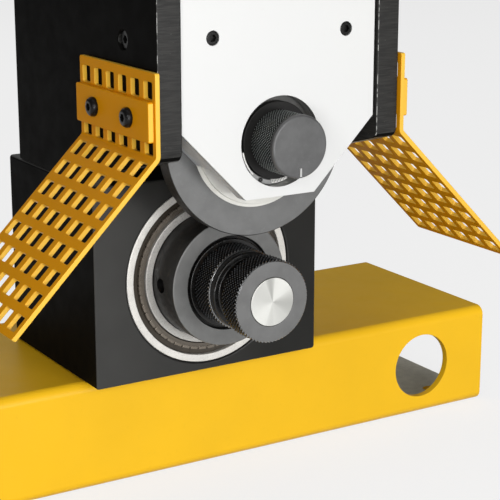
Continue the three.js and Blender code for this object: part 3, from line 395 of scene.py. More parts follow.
def black_finish(name, level, specular):
    """Satin black paint with lighter rubbed clouds and pale dust specks."""
    colour = (level, level * 0.97, level * 0.9)
    f = Finish(name, colour, 0.46, specular=specular)
    f.tint(f.spread(f.noise(55), 0.35, 0.7), scaled(colour, 1.25))
    f.tint(f.spread(f.noise(1.4, detail=5), 0.66, 0.75, 0, 0.5), scaled(colour, 2.0))
    f.shine(f.noise(9), 0.42, 0.54)
    return f.bump(f.noise(0.9, detail=1), 0.25, 0.05).material


def block_finish():
    """The bearing block's satin black, painted greyer to the left: a painted sheen that stands in for the
    lamps' reflection.
    """
    f = Finish("block_black", (0.006, 0.0058, 0.0046), 0.38, specular=0.22)
    place = f.add("ShaderNodeSeparateXYZ")
    f.link(f.where, place.inputs[0])
    # Painted sheen: the colour grows greyer towards the left, where the lamps' reflection falls.
    f.tint(f.spread(f.math("MULTIPLY", place.outputs["X"], -1.0), -0.05, 0.065), (0.044, 0.0436, 0.041))
    f.tint(f.spread(f.noise(30, detail=4), 0.4, 0.75, 0, 0.3), (0.02, 0.0197, 0.018))
    f.tint(f.spread(f.noise(1.4, detail=5), 0.66, 0.75, 0, 0.5), (0.04, 0.039, 0.036))
    f.shine(f.noise(9), 0.34, 0.46)
    return f.bump(f.noise(0.9, detail=1), 0.25, 0.05).material


def sawn_finish():
    """The side plates' front and inner faces: painted over fine level saw lines, with small worn specks."""
    f = Finish("sawn_edge", (0.0125, 0.0123, 0.0115), 0.4, specular=0.22)
    lines = f.noise(0.9, stretch=(12, 12, 1), detail=5)
    f.tint(f.spread(lines, 0.42, 0.62), (0.032, 0.031, 0.029))
    f.tint(f.spread(f.noise(30), 0.4, 0.7, 0, 0.6), (0.024, 0.0235, 0.022))
    f.tint(f.spread(f.noise(0.9, detail=2, seed=3), 0.7, 0.75, 0, 0.6), (0.2, 0.2, 0.19))
    return f.bump(lines, 0.5, 0.2).material


def pale_dashed_rim_finish():
    """A plate's left rim, pale in small dashes."""
    f = Finish("pale_dashed_rim", (0.03, 0.03, 0.028), 0.46, specular=0.4)
    f.tint(f.spread(f.noise(1.5, stretch=(1, 1, 1.8), detail=4), 0.47, 0.55), (0.42, 0.42, 0.4))
    return f.bump(f.noise(0.8, detail=3), 0.4, 0.2).material


def white_finish():
    f = Finish("white_paint", (0.785, 0.785, 0.772), 0.36, specular=0.35)
    f.tint(f.spread(f.noise(60), 0.4, 0.8), (0.783, 0.785, 0.778))
    f.tint(f.spread(f.noise(6, detail=5, seed=2), 0.66, 0.85, 0, 0.5), (0.75, 0.748, 0.73))
    f.shine(f.noise(20), 0.32, 0.4)
    return f.bump(f.noise(1.3, detail=1), 0.12, 0.03).material


def turned_finish(name, colour, axis_height, metallic, roughness, mottle=0.16):
    """Turned steel: fine rings round the axis, cloudy staining and small marks."""
    f = Finish(name, colour, roughness, metallic)
    f.tint(f.spread(f.noise(9, detail=5), 0.35, 0.7, 0, 1), scaled(colour, 1 - mottle))
    f.tint(f.spread(f.noise(2.2, detail=4, seed=5), 0.6, 0.75, 0, 0.5), scaled(colour, 1 + mottle))
    f.tint(f.spread(f.noise(1.0, detail=2, seed=8), 0.72, 0.78, 0, 0.6), scaled(colour, 0.45))
    f.shine(f.noise(5), roughness - 0.05, roughness + 0.07)
    distance, _ = f.from_axis(axis_height)
    wave = f.math("SINE", f.math("MULTIPLY", distance, 14.0))
    return f.bump(wave, 0.03, 0.05).material


def oxide_finish(name, level, roughness, specks, brown=(0.09, 0.055, 0.03), metallic=0.35, specular=0.5):
    """Oiled black oxide, with brown specks where it is thin."""
    colour = (level, level * 0.96, level * 0.92)
    f = Finish(name, colour, roughness, metallic, specular=specular)
    f.tint(f.spread(f.noise(4, detail=6), 0.58, 0.72, 0, specks), brown)
    f.tint(f.spread(f.noise(0.9, detail=3, seed=4), 0.66, 0.74, 0, 0.7), scaled(colour, 3.0))
    f.shine(f.noise(3), roughness - 0.06, roughness + 0.12)
    return f.bump(f.noise(0.7, detail=2), 0.2, 0.05).material


def knurl_finish(name, axis_height, low, high, tip, valley, roughness):
    """Knurled steel: tips painted lighter than the dark valleys by distance from the axis, a painted
    highlight on the tips and painted shade in the valleys, with rusty patches.
    """
    f = Finish(name, valley, roughness, 0.5, specular=0.06)
    distance, _ = f.from_axis(axis_height)
    # Painted highlight on the tips and painted shade in the valleys, by distance from the axis.
    f.tint(f.spread(distance, low, high), tip)
    f.tint(f.spread(f.noise(6, detail=4), 0.56, 0.74, 0, 0.3), (tip[0] * 0.34, tip[1] * 0.29, tip[2] * 0.23))
    f.shine(f.noise(2), roughness - 0.05, roughness + 0.1)
    return f.bump(f.noise(0.5), 0.15, 0.05).material


def bearing_finish(name, colour, stain):
    """Ground ring steel, stained, with dark pinpricks."""
    f = Finish(name, colour, 0.36, 0.25)
    f.tint(f.spread(f.noise(7, detail=4), 0.35, 0.7, 0, 1), scaled(colour, 0.87))
    f.tint(f.spread(f.noise(0.9, detail=3, seed=2), 0.55, 0.7, 0, stain), scaled(colour, 0.5))
    f.shine(f.noise(3), 0.3, 0.42)
    return f.bump(f.noise(0.8), 0.12, 0.05).material


def disc_finish():
    """Bare disc brushed round its centre: the brushing spreads highlights into bright and dark sectors, and
    three darker wedges are painted shade of that sheen.
    """
    f = Finish("brushed_disc", (0.62, 0.62, 0.59), 0.5, 1.0)
    distance, around = f.from_axis(SHAFT_AT.z)
    f.shader.inputs["Anisotropic"].default_value = 0.3
    f.link(f.vector("CROSS_PRODUCT", around, (0, 1, 0))[0], f.shader.inputs["Tangent"])
    f.tint(f.spread(f.math("SINE", f.math("MULTIPLY", distance, 23.0)), -1, 1, 0, 0.25), (0.5, 0.5, 0.47))
    f.tint(f.spread(f.noise(1.2, detail=4), 0.6, 0.75, 0, 0.3), (0.5, 0.5, 0.47))
    outward = f.vector("NORMALIZE", f.vector("MULTIPLY", around, (1, 0, 1))[0])[0]
    # Painted shade: wedges at the top, the bottom and the right, darkened where the brushed sheen falls dark.
    for angle, width, depth in ((97, 0.035, 0.8), (262, 0.03, 0.25), (-8, 0.2, 0.5)):
        toward = (cos(radians(angle)), 0, sin(radians(angle)))
        near = f.vector("DOT_PRODUCT", outward, toward)["Value"]
        f.tint(f.spread(near, 1 - width, 1, 0, depth), (0.34, 0.34, 0.32))
    return f.material


def plain_steel(name, colour, roughness, metallic, lines=(1, 1, 1)):
    f = Finish(name, colour, roughness, metallic)
    f.tint(f.spread(f.noise(6, detail=5), 0.35, 0.7), scaled(colour, 0.85))
    grain = f.noise(0.8, stretch=lines, detail=3)
    f.tint(f.spread(grain, 0.5, 0.75, 0, 0.5), scaled(colour, 1.2))
    f.shine(f.noise(3), roughness - 0.05, roughness + 0.08)
    return f.bump(grain, 0.12, 0.05).material


def rubber_finish():
    f = Finish("grip_rubber", (0.022, 0.022, 0.023), 0.7, specular=0.3)
    f.tint(f.spread(f.noise(8), 0.4, 0.7), (0.032, 0.032, 0.033))
    return f.bump(f.noise(0.9, detail=2), 0.35, 0.12).material


YELLOW = ("yellow_paint", yellow_finish("base_yellow", (0.955, 0.548, 0.0135), 0.26))
# Guards and clamp bars: their yellow is painted darker and more orange than the base's as painted shade; the
# edge yellow is a painted highlight on cut edges and front faces.
GUARD_PAINTED_SHADE = ("yellow_paint", yellow_finish("guard_yellow_painted_shade", (0.84, 0.345, 0.005), 0.03))
EDGE_PAINTED_HIGHLIGHT = ("yellow_paint", yellow_finish("edge_yellow_painted_highlight", (0.95, 0.56, 0.06), 0.3))
INSIDE = ("yellow_paint", plain_steel("tube_inside", (0.78, 0.74, 0.62), 0.5, 0.1))
BLACK = ("black_paint", black_finish("satin_black", 0.012, 0.25))
MATT = ("black_paint", black_finish("matt_black", 0.0045, 0.01))
BLOCK = ("black_paint", block_finish())
SAWN = ("black_paint", sawn_finish())
PALE_DASHED_RIM = ("black_paint", pale_dashed_rim_finish())
WHITE = ("white_paint", white_finish())
CHEEK = ("black_paint", plain_steel("cheek_side", (0.8, 0.83, 0.86), 0.42, 0.3))
ROLL = ("roll_steel", turned_finish("roll_face", (0.165, 0.166, 0.164), SHAFT_AT.z + ROLL_Z, 0.4, 0.38))
ROLL_RIM = ("roll_steel", oxide_finish("roll_rim", 0.014, 0.4, 0.15))
LAND = ("roll_steel", turned_finish("roll_land", (0.8, 0.79, 0.74), SHAFT_AT.z + ROLL_Z, 0.1, 0.45, 0.08))
NOSE = ("blacked_steel", turned_finish("nose_face", (0.175, 0.176, 0.172), SHAFT_AT.z, 0.35, 0.48))
BARREL = ("blacked_steel", oxide_finish("barrel_oxide", 0.006, 0.34, 0.5, (0.045, 0.03, 0.018), 0.1, 0.3))
OXIDE = ("blacked_steel", oxide_finish("black_oxide", 0.014, 0.34, 0.1))
SCREW = ("blacked_steel", oxide_finish("screw_black", 0.005, 0.28, 0.0, metallic=0.0, specular=0.22))
SKIRT = ("blacked_steel", oxide_finish("skirt_black", 0.012, 0.4, 0.0, metallic=0.1, specular=0.2))
END_FACE = ("roll_steel", turned_finish("roll_end_face", (0.162, 0.162, 0.16), SHAFT_AT.z, 0.35, 0.47))
GROOVE = ("roll_steel", oxide_finish("groove_oxide", 0.005, 0.22, 0.1, metallic=0.0, specular=0.4))
KNURL = ("roll_steel", knurl_finish("roll_knurl", SHAFT_AT.z, 23.5, 23.92, (0.115, 0.12, 0.127),
                                    (0.0025, 0.0022, 0.0018), 0.26))
TOOTH = ("roll_steel", plain_steel("tooth_ends", (0.3, 0.305, 0.31), 0.28, 0.9))
KNOB = ("blacked_steel", knurl_finish("knob_knurl", SHAFT_AT.z + ROLL_Z, 16.4, 16.85, (0.3, 0.32, 0.31),
                                      (0.0025, 0.0025, 0.0024), 0.28))
KNOB_FACE = ("blacked_steel", turned_finish("knob_face", (0.118, 0.118, 0.118), SHAFT_AT.z + ROLL_Z, 0.35,
                                            0.4, 0.26))
BORE = ("black_paint", plain_steel("machined_bore", (0.36, 0.36, 0.345), 0.34, 0.25))
BEARING = ("bright_steel", bearing_finish("outer_race", (0.84, 0.82, 0.77), 0.5))
# The front inner race is painted darker than the outer race as painted shade, and carries more stain.
INNER_RACE_SHADE_AND_STAIN = ("bright_steel", bearing_finish("inner_race_shade_and_stain", (0.6, 0.585, 0.55), 0.9))
DISC = ("bright_steel", disc_finish())
CAGE = ("cage_steel", plain_steel("cage_brown", (0.115, 0.097, 0.076), 0.42, 0.3))
# Painted shade: a darker copy of the cage's brown.
CAGE_PAINTED_SHADE = ("cage_steel", plain_steel("cage_painted_shade", (0.034, 0.026, 0.016), 0.5, 0.2))
# Painted highlight: the pads are a lighter, glossier copy of the cage's brown.
PAD_PAINTED_HIGHLIGHT = ("cage_steel", plain_steel("cage_pad", (0.19, 0.162, 0.13), 0.26, 0.5))
BALL = ("cage_steel", plain_steel("ball_steel", (0.5, 0.49, 0.46), 0.15, 0.9))
GROUND = ("ground_steel", plain_steel("ground_steel", (0.42, 0.42, 0.42), 0.34, 0.7, (6, 6, 1)))
DIAL = ("ground_steel", plain_steel("dial_plate", (0.085, 0.084, 0.08), 0.4, 0.3))
STOP = ("ground_steel", plain_steel("stop_steel", (0.3, 0.3, 0.295), 0.36, 0.5))
NOTCH = ("ground_steel", plain_steel("notch_steel", (0.5, 0.5, 0.49), 0.4, 0.3))
PALE = ("ground_steel", plain_steel("dial_white", (0.8, 0.79, 0.76), 0.5, 0.0))
BRONZE = ("bronze", plain_steel("bronze", (0.45, 0.29, 0.13), 0.34, 0.8))
RUBBER = ("rubber", rubber_finish())


# The base.

ORIGIN = Vector((0, 0, 0))
TUBE_HALF_LENGTH = 224.4
TUBE_HALF_WIDTH = 70.5
TUBE_HEIGHT = 67
TUBE_WALL = 5
TUBE_MIDDLE = TUBE_HEIGHT / 2
BLOCK_BOLT_X = 58
BLOCK_BOLT_Y = -27.5


def base():
    room = TUBE_HALF_WIDTH - TUBE_WALL
    outer = soften(box_loop(-TUBE_HALF_WIDTH, TUBE_HALF_WIDTH, 0, TUBE_HEIGHT), 6, 8)
    inner = soften(box_loop(-room, room, TUBE_WALL, TUBE_HEIGHT - TUBE_WALL), 2.5, 6)
    tube = plate(outer, [inner], -TUBE_HALF_LENGTH, TUBE_HALF_LENGTH, "yz", 0.5)
    cutters = []
    for side in (-1, 1):
        for wall in (-1, 1):
            span = sorted((wall * 58, wall * 80))
            cutters.append(rod(21.5, *span, "y", (side * 172.7, 0, TUBE_MIDDLE), 0, 96))
            cutters.append(rod(5.5, -3, 8, "z", (side * 200.4, wall * 46, 0), 0, 32))
        cutters.append(rod(5.3, 58, 70, "z", (side * BLOCK_BOLT_X, BLOCK_BOLT_Y, 0), 0, 32))
    tube = dress("base_tube", tube, "frame", YELLOW, cutters, 0.6, ORIGIN)

    def inside(c, n):
        across, up = c.y + SHAFT_AT.y, c.z + SHAFT_AT.z - TUBE_MIDDLE
        return abs(n.x) < 0.5 and abs(across) < room + 0.4 and abs(up) < TUBE_MIDDLE - TUBE_WALL + 0.4

    repaint(tube, INSIDE, inside)
    for name, side in SIDES:
        centre = (side * BLOCK_BOLT_X, BLOCK_BOLT_Y, 0)
        top = TUBE_HEIGHT - TUBE_WALL - 0.2
        head = plate(circle(centre[0], centre[1], 8, 6), [], top - 7, top, "xy", 0.5)
        bolt = joined(head, rod(5, top - 1, 93, "z", centre))
        dress(f"block_bolt_{name}", bolt, "frame", OXIDE, origin=ORIGIN)


# The bearing block, and the bearings in its bore.

BLOCK_HALF_WIDTH = 75.4
BALLS = 12
BALL_RADIUS = 5.8
BALL_CIRCLE = 46.3
BALLS_Y = 10.6
RACE_WIDTH = 20
RACE_OUTSIDE = 54.4
RACE_BORE = 37.7
INNER_LAND = 42.2
CAGE_PADS = 50


def off_shaft(point):
    return hypot(point.x, point.z)


def bearing_block():
    outer = soften(box_loop(-BLOCK_HALF_WIDTH, BLOCK_HALF_WIDTH, -59.3, 60), 1.8, 3)
    block = plate(outer, [circle(0, 0, RACE_OUTSIDE + 0.2, 128)], 0, 116, "xz", 1.2)
    block = dress("bearing_block", block, "frame", BLOCK)
    repaint(block, MATT, lambda c, n: abs(n.x) > 0.9 and abs(c.x) > BLOCK_HALF_WIDTH - 0.4)
    # The bore's wall and rim chamfer take black oxide, as the machined bore and as painted shade along the
    # gap round the bearing's outer ring.
    repaint(block, OXIDE, lambda c, n: off_shaft(c) < 56 and abs(n.y) < 0.98)


def race(land, bore, away):
    """A front bearing ring's profile, with a groove for the balls; away is 1 outside them and -1 inside."""
    start, end = BALLS_Y - RACE_WIDTH / 2, BALLS_Y + RACE_WIDTH / 2
    reach = 6.4
    half = acos(abs(land - BALL_CIRCLE) / reach)
    groove = [(BALL_CIRCLE + away * reach * cos(a), BALLS_Y + reach * sin(a))
              for a in [half * (i / 8 - 1) for i in range(17)]]
    corners = [(bore, start), (land, start), *groove, (land, end), (bore, end)]
    return soften(corners, [0.5, 0.45] + [0] * len(groove) + [0.45, 0.5], 3)


def bearings():
    front_outer = turned(race(50.0, RACE_OUTSIDE, 1), count=160)
    dress("front_bearing_outer_ring", front_outer, "frame", BEARING)
    front_inner = turned(race(INNER_LAND, RACE_BORE, -1), count=160)
    # Its darker colour is painted shade, with more stain.
    dress("front_bearing_inner_ring", front_inner, "drive", INNER_RACE_SHADE_AND_STAIN)
    start, end = 95.4, 115.4
    channel = [(RACE_OUTSIDE, start), (43, start), (43, start + 1), (50.4, start + 1), (50.4, end - 1),
               (43, end - 1), (43, end), (RACE_OUTSIDE, end)]
    rear_outer = turned(soften(channel, 0.3, 2), count=128)
    rear_outer = dress("rear_bearing_outer_ring", rear_outer, "frame", BEARING)
    repaint(rear_outer, DIAL, lambda c, n: off_shaft(c) < 50 and c.y > 100)
    rear_inner = ring(RACE_BORE, INNER_LAND, start, end, edge=0.5, count=128)
    dress("rear_bearing_inner_ring", rear_inner, "drive", BEARING)
    cage()


def cage():
    """The front bearing's balls and their brown cage: a stepped ring with pads, a rear ring and posts."""
    front = [(42.8, 1.4), (46.2, 1.4), (46.4, 3.0), (49.7, 2.7), (49.7, 4.5), (42.8, 4.5)]
    front = turned(soften(front, [0.3, 0.2, 0.15, 0.3, 0.1, 0.1], 2), count=150)
    rear = ring(43.4, 49.2, 16.6, 17.8, edge=0.2, count=96)
    posts, pads, balls = [], [], []
    for i in range(BALLS):
        angle = 2 * pi * i / BALLS
        place = (BALL_CIRCLE * cos(angle), BALLS_Y, BALL_CIRCLE * sin(angle))
        turns = [pi * j / 16 for j in range(17)]
        half = [(BALL_RADIUS * sin(a), -BALL_RADIUS * cos(a)) for a in turns]
        half[0], half[-1] = (0, -BALL_RADIUS), (0, BALL_RADIUS)
        balls.append(turned(half, "y", place, 32))
        posts.append(swung(box(44.6, 48, 4.5, 16.8, -4, 4, 0.3), angle + pi / BALLS))
    for i in range(CAGE_PADS):
        pad = box(45.0, 46.6, 0.95, 2.6, -2.4, 2.4, 0.22)
        pads.append(swung(pad, 2 * pi * (i + 0.3) / CAGE_PADS))
    whole = dress("ball_cage", joined(front, rear, *posts), "balls", CAGE)
    # Painted shade: the outer step band and everything behind the front face take the darker brown.
    repaint(whole, CAGE_PAINTED_SHADE, lambda c, n: off_shaft(c) > 46.25 or c.y > 2.5)
    # Painted highlight: the pads take the lighter brown.
    make("cage_pads", joined(*pads), "balls", PAD_PAINTED_HIGHLIGHT)
    make("cage_balls", joined(*balls), "balls", BALL)


# The drive shaft and the drive roll.

KNURL_FACETS = 6
KNURL_ROW = 0.28
KNURL_CREASE = radians(25)


def socket_screw(axis, centre, head_end, head_length, head_radius, shank_end, shank_radius, socket):
    """A socket screw and the cutter of its hexagon socket."""
    away = 1 if head_end > shank_end else -1
    neck = head_end - away * head_length
    profile = [(0, head_end), (head_radius, head_end), (head_radius, neck), (shank_radius, neck),
               (shank_radius, shank_end), (0, shank_end)]
    body = lathed(profile, [0, 0.5, 0.1, 0.1, 0.4, 0], 3, axis, centre, 40)
    low, high = sorted((head_end - away * head_radius * 0.55, head_end + away))
    return body, [turned([(0, low), (socket, low), (socket, high), (0, high)], axis, centre, 6)]


def drive_shaft():
    nose, back = -23.4, 115.6
    profile = [
        (16.2, nose), (24.8, nose), (24.8, nose + 2.5), (27.4, nose + 2.5), (27.4, nose), (37.5, nose),
        (37.5, back), (22, back), (22, 126), (16, 126), (16, 164), (11.3, 164), (11.3, 89.6), (6.3, 89.6),
        (6.3, 36.8), (16.2, 36.8)]
    radii = [0.4, 0.3, 0.2, 0.2, 0.7, 0.8, 0.6, 0.2, 0.6, 0.2, 0.8, 0.5, 0, 0, 0.2, 0.2]
    shaft = turned(soften(profile, radii, 4), count=160)
    screw_at = (0, -8.6, 0)
    cutters = [rod(4.3, -39, -15, "x", screw_at, 0, 48)]
    for i in range(3):
        flat = box(13.6, 18, 126.4, 166, -18, 18, 0)
        cutters.append(swung(flat, radians(120 * i + 90)))
    shaft = dress("drive_shaft", shaft, "drive", BARREL, cutters)
    repaint(shaft, NOSE, lambda c, n: c.y < nose + 0.5 and n.y < -0.5 and off_shaft(c) > 28)
    screw, socket = socket_screw("x", screw_at, -34.3, 6, 3.9, -22.5, 3.7, 2.2)
    dress("nose_set_screw", screw, "drive", OXIDE, socket)
    nut = turned(soften([(22.3, 115.8), (34, 115.8), (34, 125.8), (22.3, 125.8)], 0.8, 3), count=96)
    slots = [swung(box(29, 36, 114, 128, -3.5, 3.5, 0), radians(90 * i + 45)) for i in range(4)]
    dress("shaft_nut", nut, "drive", OXIDE, slots)
    bolt, socket = socket_screw("y", (0, 0, 0), 98.8, 9, 11, 12, 6, 5.2)
    dress("draw_bolt", bolt, "drive", OXIDE, socket)


def knurled_band(radius, depth, teeth, low, high, inner, chamfer):
    """A band of crossed knurling: a turned sleeve whose skin dips between two families of spiral ridges."""
    count = round((high - low) / KNURL_ROW)
    skin = [(radius, low + (high - low) * i / count) for i in range(count + 1)]
    part = turned([(inner, low)] + skin + [(inner, high)], count=teeth * KNURL_FACETS)
    lead = 2 * pi * radius / teeth * 1.15

    def ridge(x):
        return 1 - abs(2 * (x % 1.0) - 1)

    for vert in part.verts:
        x, y, z = vert.co
        reach = hypot(x, z)
        if reach < radius - 0.01:
            continue
        around = atan2(z, x) / (2 * pi) * teeth
        height = min(ridge(around + (y - low) / lead), ridge(around - (y - low) / lead), 0.8) / 0.8
        to_end = min(y - low, high - y)
        dip = max(depth * (1 - height), chamfer - to_end)
        vert.co.x *= (radius - dip) / reach
        vert.co.z *= (radius - dip) / reach
    return part


def drive_roll():
    end, front, rear, collar, nose = -69.3, -53.3, -39.6, -23.7, -23.5
    core = [
        (0, -66.1), (14.1, -66.1), (14.1, end), (22.9, end), (22.9, end + 0.6), (22.5, end + 0.9),
        (22.6, front - 0.2), (19.4, front), (19.4, -44.6), (22.7, -43.8), (22.7, collar), (26.2, collar),
        (26.2, -21.2), (25.1, -21.2), (25.1, nose), (16, nose), (16, 36.6), (6.2, 36.6), (6.2, 10.6),
        (0, 10.6)]
    radii = [0, 0.1, 0.3, 0.2, 0.1, 0.1, 0.2, 0.8, 1.0, 1.0, 0, 0.6, 0.2, 0, 0, 0, 0.8, 0, 0, 0]
    roll = dress("drive_roll", lathed(core, radii, 4, count=144), "drive", GROOVE)
    repaint(roll, END_FACE, lambda c, n: c.y < end + 0.6 and n.y < -0.3)
    bands = joined(knurled_band(24, 1.1, 66, end + 0.1, front, 20.5, 1.2),
                   knurled_band(24, 1.1, 66, rear, collar, 20.5, 1.2))
    knurls = make("roll_knurls", bands, "drive", KNURL, sharp=KNURL_CREASE)

    def tooth_end(c, n):
        at_edge = c.y < end + 1.6 or rear - 0.1 < c.y < rear + 1.6
        return n.y < -0.45 and at_edge and off_shaft(c) > 22.6

    repaint(knurls, TOOTH, tooth_end)
    disc = [(0, -69.5), (13.9, -69.5), (13.9, -66.5), (0, -66.5)]
    dress("roll_end_disc", lathed(disc, [0, 0.3, 0.1, 0], 3, count=128), "drive", DISC)


# The frame's plates.

PLATE_TOP = 258
KEY_SCREW_Y = -41.6
KEY_SCREWS = (("lower", 147), ("upper", 205))


def side_plates():
    corners = [(-79.3, PLATE_TOP), (-79.3, 88), (3, 65.8), (3, 60.2), (100, 60.2), (100, 224),
               (66, PLATE_TOP)]
    shape = soften(corners, [14, 6, 0.8, 0, 1, 14, 14], 8)
    for name, side in SIDES:
        span = sorted((side * 61.5, side * 75.3))
        holes = [circle(KEY_SCREW_Y, z, 5.3, 40) for _, z in KEY_SCREWS]
        side_plate = dress(f"side_plate_{name}", plate(shape, holes, *span, "yz", 0.7), "frame", MATT)
        repaint(side_plate, SAWN, lambda c, n: n.y < -0.9 or n.x * side < -0.9 or (n.z < -0.85 and c.y < 3))
        repaint(side_plate, PALE_DASHED_RIM, lambda c, n: -0.93 < n.y < -0.35 and c.y < -78 and n.x < 0)
        for level, z in KEY_SCREWS:
            screw, socket = socket_screw("x", (0, KEY_SCREW_Y, z), side * 73.8, 5.5, 5, side * 57.7, 3, 2.4)
            dress(f"key_screw_{name}_{level}", screw, "frame", SCREW, socket)
        span = sorted((side * 61.3, side * 57.5))
        holes = [circle(KEY_SCREW_Y, z, 3.2, 24) for _, z in KEY_SCREWS]
        key = plate(box_loop(-53, -35.6, 96, 234), holes, *span, "yz", 0.4)
        dress(f"guide_key_{name}", key, "frame", GROUND)


def back_and_crown():
    back = plate(box_loop(-61.3, 61.3, 60.2, 223.8), [], 84, 100, "xz", 0.8)
    dress("back_plate", back, "frame", BLACK)
    crown = plate(box_loop(-61.3, 61.3, -76, 66), [circle(0, -46.35, 16, 64)], 238, PLATE_TOP, "xy", 0.8)
    dress("crown_plate", crown, "frame", BLACK)


# The ram: its two cheeks, their spacer and head, the upper roll between them, and the depth dial.

RAM_SHAPE = [(-60.4, 200), (-60.4, 100.6), (-21.9, 61.5), (21.9, 61.5), (60.4, 100.6), (60.4, 200)]
AXIS = (0, 0, ROLL_Z)
AXLE_BORE = 15.2
WASHER_BORE = 15.3
DIAL_BORE = 24.7
FACE_SCREW_BORE = 3.9
FACE_SCREWS = [(x, 0, 149.2) for x in (-41.6, 41.6)]


def off_axis(point):
    return hypot(point.x, point.z - ROLL_Z)


def front_cheek():
    """The white face plate, and the thick cheek behind it: bored for the dial, recessed for the washer."""
    bores = [circle(0, ROLL_Z, DIAL_BORE, 128)]
    bores += [circle(x, z, FACE_SCREW_BORE, 48) for x, _, z in FACE_SCREWS]
    face = dress("face_plate", plate(RAM_SHAPE, bores, -77.1, -74.9, "xz", 0.25), "ram", WHITE)
    repaint(face, BORE, lambda c, n: off_axis(c) < 24.9 and abs(n.y) < 0.5)

    def outer_edge(c, n):
        return abs(n.y) < 0.5 and (abs(c.x) > 60 or c.z < 102) and off_axis(c) > 25

    repaint(face, CHEEK, outer_edge)

    cutters = [rod(FACE_SCREW_BORE, -76, -69.8, "y", place, 0, 48) for place in FACE_SCREWS]
    dial_bore = [(0, -76), (DIAL_BORE, -76), (DIAL_BORE, -67), (AXLE_BORE, -67), (AXLE_BORE, -54.5),
                 (0, -54.5)]
    cutters.append(turned(dial_bore, "y", AXIS, 128))
    recess = [(40.9, -52), (40.9, -68.2), (29, -68.2), (29, -55.9), (0, -55.9), (0, -52)]
    cutters.append(turned(soften(recess, [0, 1.5, 0, 0, 0, 0], 4), "y", AXIS, 128))
    cheek = dress("front_cheek", plate(RAM_SHAPE, [], -74.7, -53.3, "xz", 0.3), "ram", BLACK, cutters)
    repaint(cheek, CHEEK, lambda c, n: abs(n.y) < 0.7)
    repaint(cheek, BORE, lambda c, n: off_axis(c) < 24.9)
    for (name, _), place in zip(SIDES, FACE_SCREWS):
        screw, socket = socket_screw("y", place, -76.9, 7, 3.7, -33.1, 2.9, 2.1)
        dress(f"face_screw_{name}", screw, "ram", SCREW, socket)


def ram():
    angles = [radians(48.5 + 83 * i / 40) for i in range(41)]
    arch = arc(0, ROLL_Z, 59.46, reversed(angles))
    spacer = [(57.2, 200), (-57.2, 200), (-57.2, 136), *arch, (57.2, 136)]
    dress("ram_spacer", plate(spacer, [], -53.1, -42.1, "xz", 0.3), "ram", OXIDE)
    cuts = [box(*sorted((side * 57.2, side * 62)), -45, -35.3, 0, 220, 0) for side in (-1, 1)]
    cuts += [rod(27.3, -44, -40.2, "y", AXIS, 0, 64), rod(AXLE_BORE, -44, -10, "y", AXIS, 0, 64)]
    rear = dress("rear_cheek", plate(RAM_SHAPE, [], -41.9, -17.9, "xz", 0.4), "ram", BLACK, cuts)
    repaint(rear, CHEEK, lambda c, n: abs(n.y) < 0.7)
    head = plate(box_loop(-52, 52, -74.7, -17.9), [], 200.2, 214.2, "xy", 0.8)
    dress("ram_head", head, "ram", OXIDE)
    low, under, top = 214.4, 283.7, 299.7
    piston = [(0, low), (14, low), (14, under), (29.7, under), (29.7, top), (0, top)]
    piston = lathed(piston, [0, 0.5, 0.3, 0.6, 0.6, 0], 3, "z", (0, ROD_Y, 0))
    dress("piston_rod", piston, "ram", GROUND)


def upper_roll():
    axle = [(0, -66.8), (15, -66.8), (15, -17.7), (20, -17.7), (20, -12.7), (0, -12.7)]
    axle = lathed(axle, [0, 0.5, 0.2, 0.4, 0.8, 0], 3, "y", AXIS)
    dress("roll_axle", axle, "ram", GROUND, [rod(6.3, -68, -54, "y", AXIS, 0, 40)])
    washer = ring(WASHER_BORE, 38.4, -55.6, -53.6, "y", AXIS, 0.3, 128)
    dress("front_thrust_washer", washer, "ram", LAND)
    washer = ring(WASHER_BORE, 27, -42.5, -40.5, "y", AXIS, 0.3, 96)
    dress("rear_thrust_washer", washer, "ram", BRONZE)
    front, back = -53.4, -42.8
    dress("roll_bush", ring(WASHER_BORE, 19, front, back, "y", AXIS, 0.3, 96), "roll", BRONZE)
    profile = [(19.2, front), (40.4, front), (40.4, front + 0.6), (56.86, front + 0.6), (56.86, back),
               (19.2, back)]
    roll = turned(soften(profile, [0.3, 0.2, 0.05, 0.7, 0.7, 0.3], 4), "y", AXIS, 192)
    roll = dress("upper_roll", roll, "roll", ROLL)
    repaint(roll, LAND, lambda c, n: off_axis(c) < 40.5 and c.y < front + 0.7)
    repaint(roll, ROLL_RIM, lambda c, n: off_axis(c) > 56.5)


def knob():
    front, rim, hub = -96.2, -73.5, 15.2
    core = [(0, front), (17, front), (17, front + 3.2), (hub, front + 3.6), (hub, rim), (21.2, rim),
            (21.2, -69.5), (6, -69.5), (6, -55), (0, -55)]
    body = lathed(core, [0, 1.3, 0.3, 0.2, 0.2, 0.4, 0.4, 0.2, 0.4, 0], 4, "y", AXIS, 128)
    notch = box(-1.3, 1.3, front - 1, front + 0.9, ROLL_Z - 17.5, ROLL_Z - 11.3, 0)
    whole = dress("depth_knob", body, "knob", OXIDE, [notch])
    repaint(whole, SKIRT, lambda c, n: off_axis(c) > hub + 0.3 and c.y > rim - 0.5)
    repaint(whole, KNOB_FACE, lambda c, n: n.y < -0.1 and c.y < front + 1.5)
    band = knurled_band(16.9, 0.9, 60, front + 3.4, rim - 0.2, hub - 0.4, 0.4)
    make("knob_knurl", moved(band, Matrix.Translation(AXIS)), "knob", KNOB, sharp=KNURL_CREASE)
    mark = box(0, 1.25, front + 0.1, front + 0.85, ROLL_Z - 16.2, ROLL_Z - 11.5, 0.1)
    make("knob_mark", mark, "knob", NOTCH)


def arc_band(inner, outer, start, end, count=24):
    """A closed outline between two radii and two angles in degrees, round the upper roll's axis."""
    angles = [radians(start + (end - start) * i / count) for i in range(count + 1)]
    return arc(0, ROLL_Z, outer, angles) + arc(0, ROLL_Z, inner, reversed(angles))


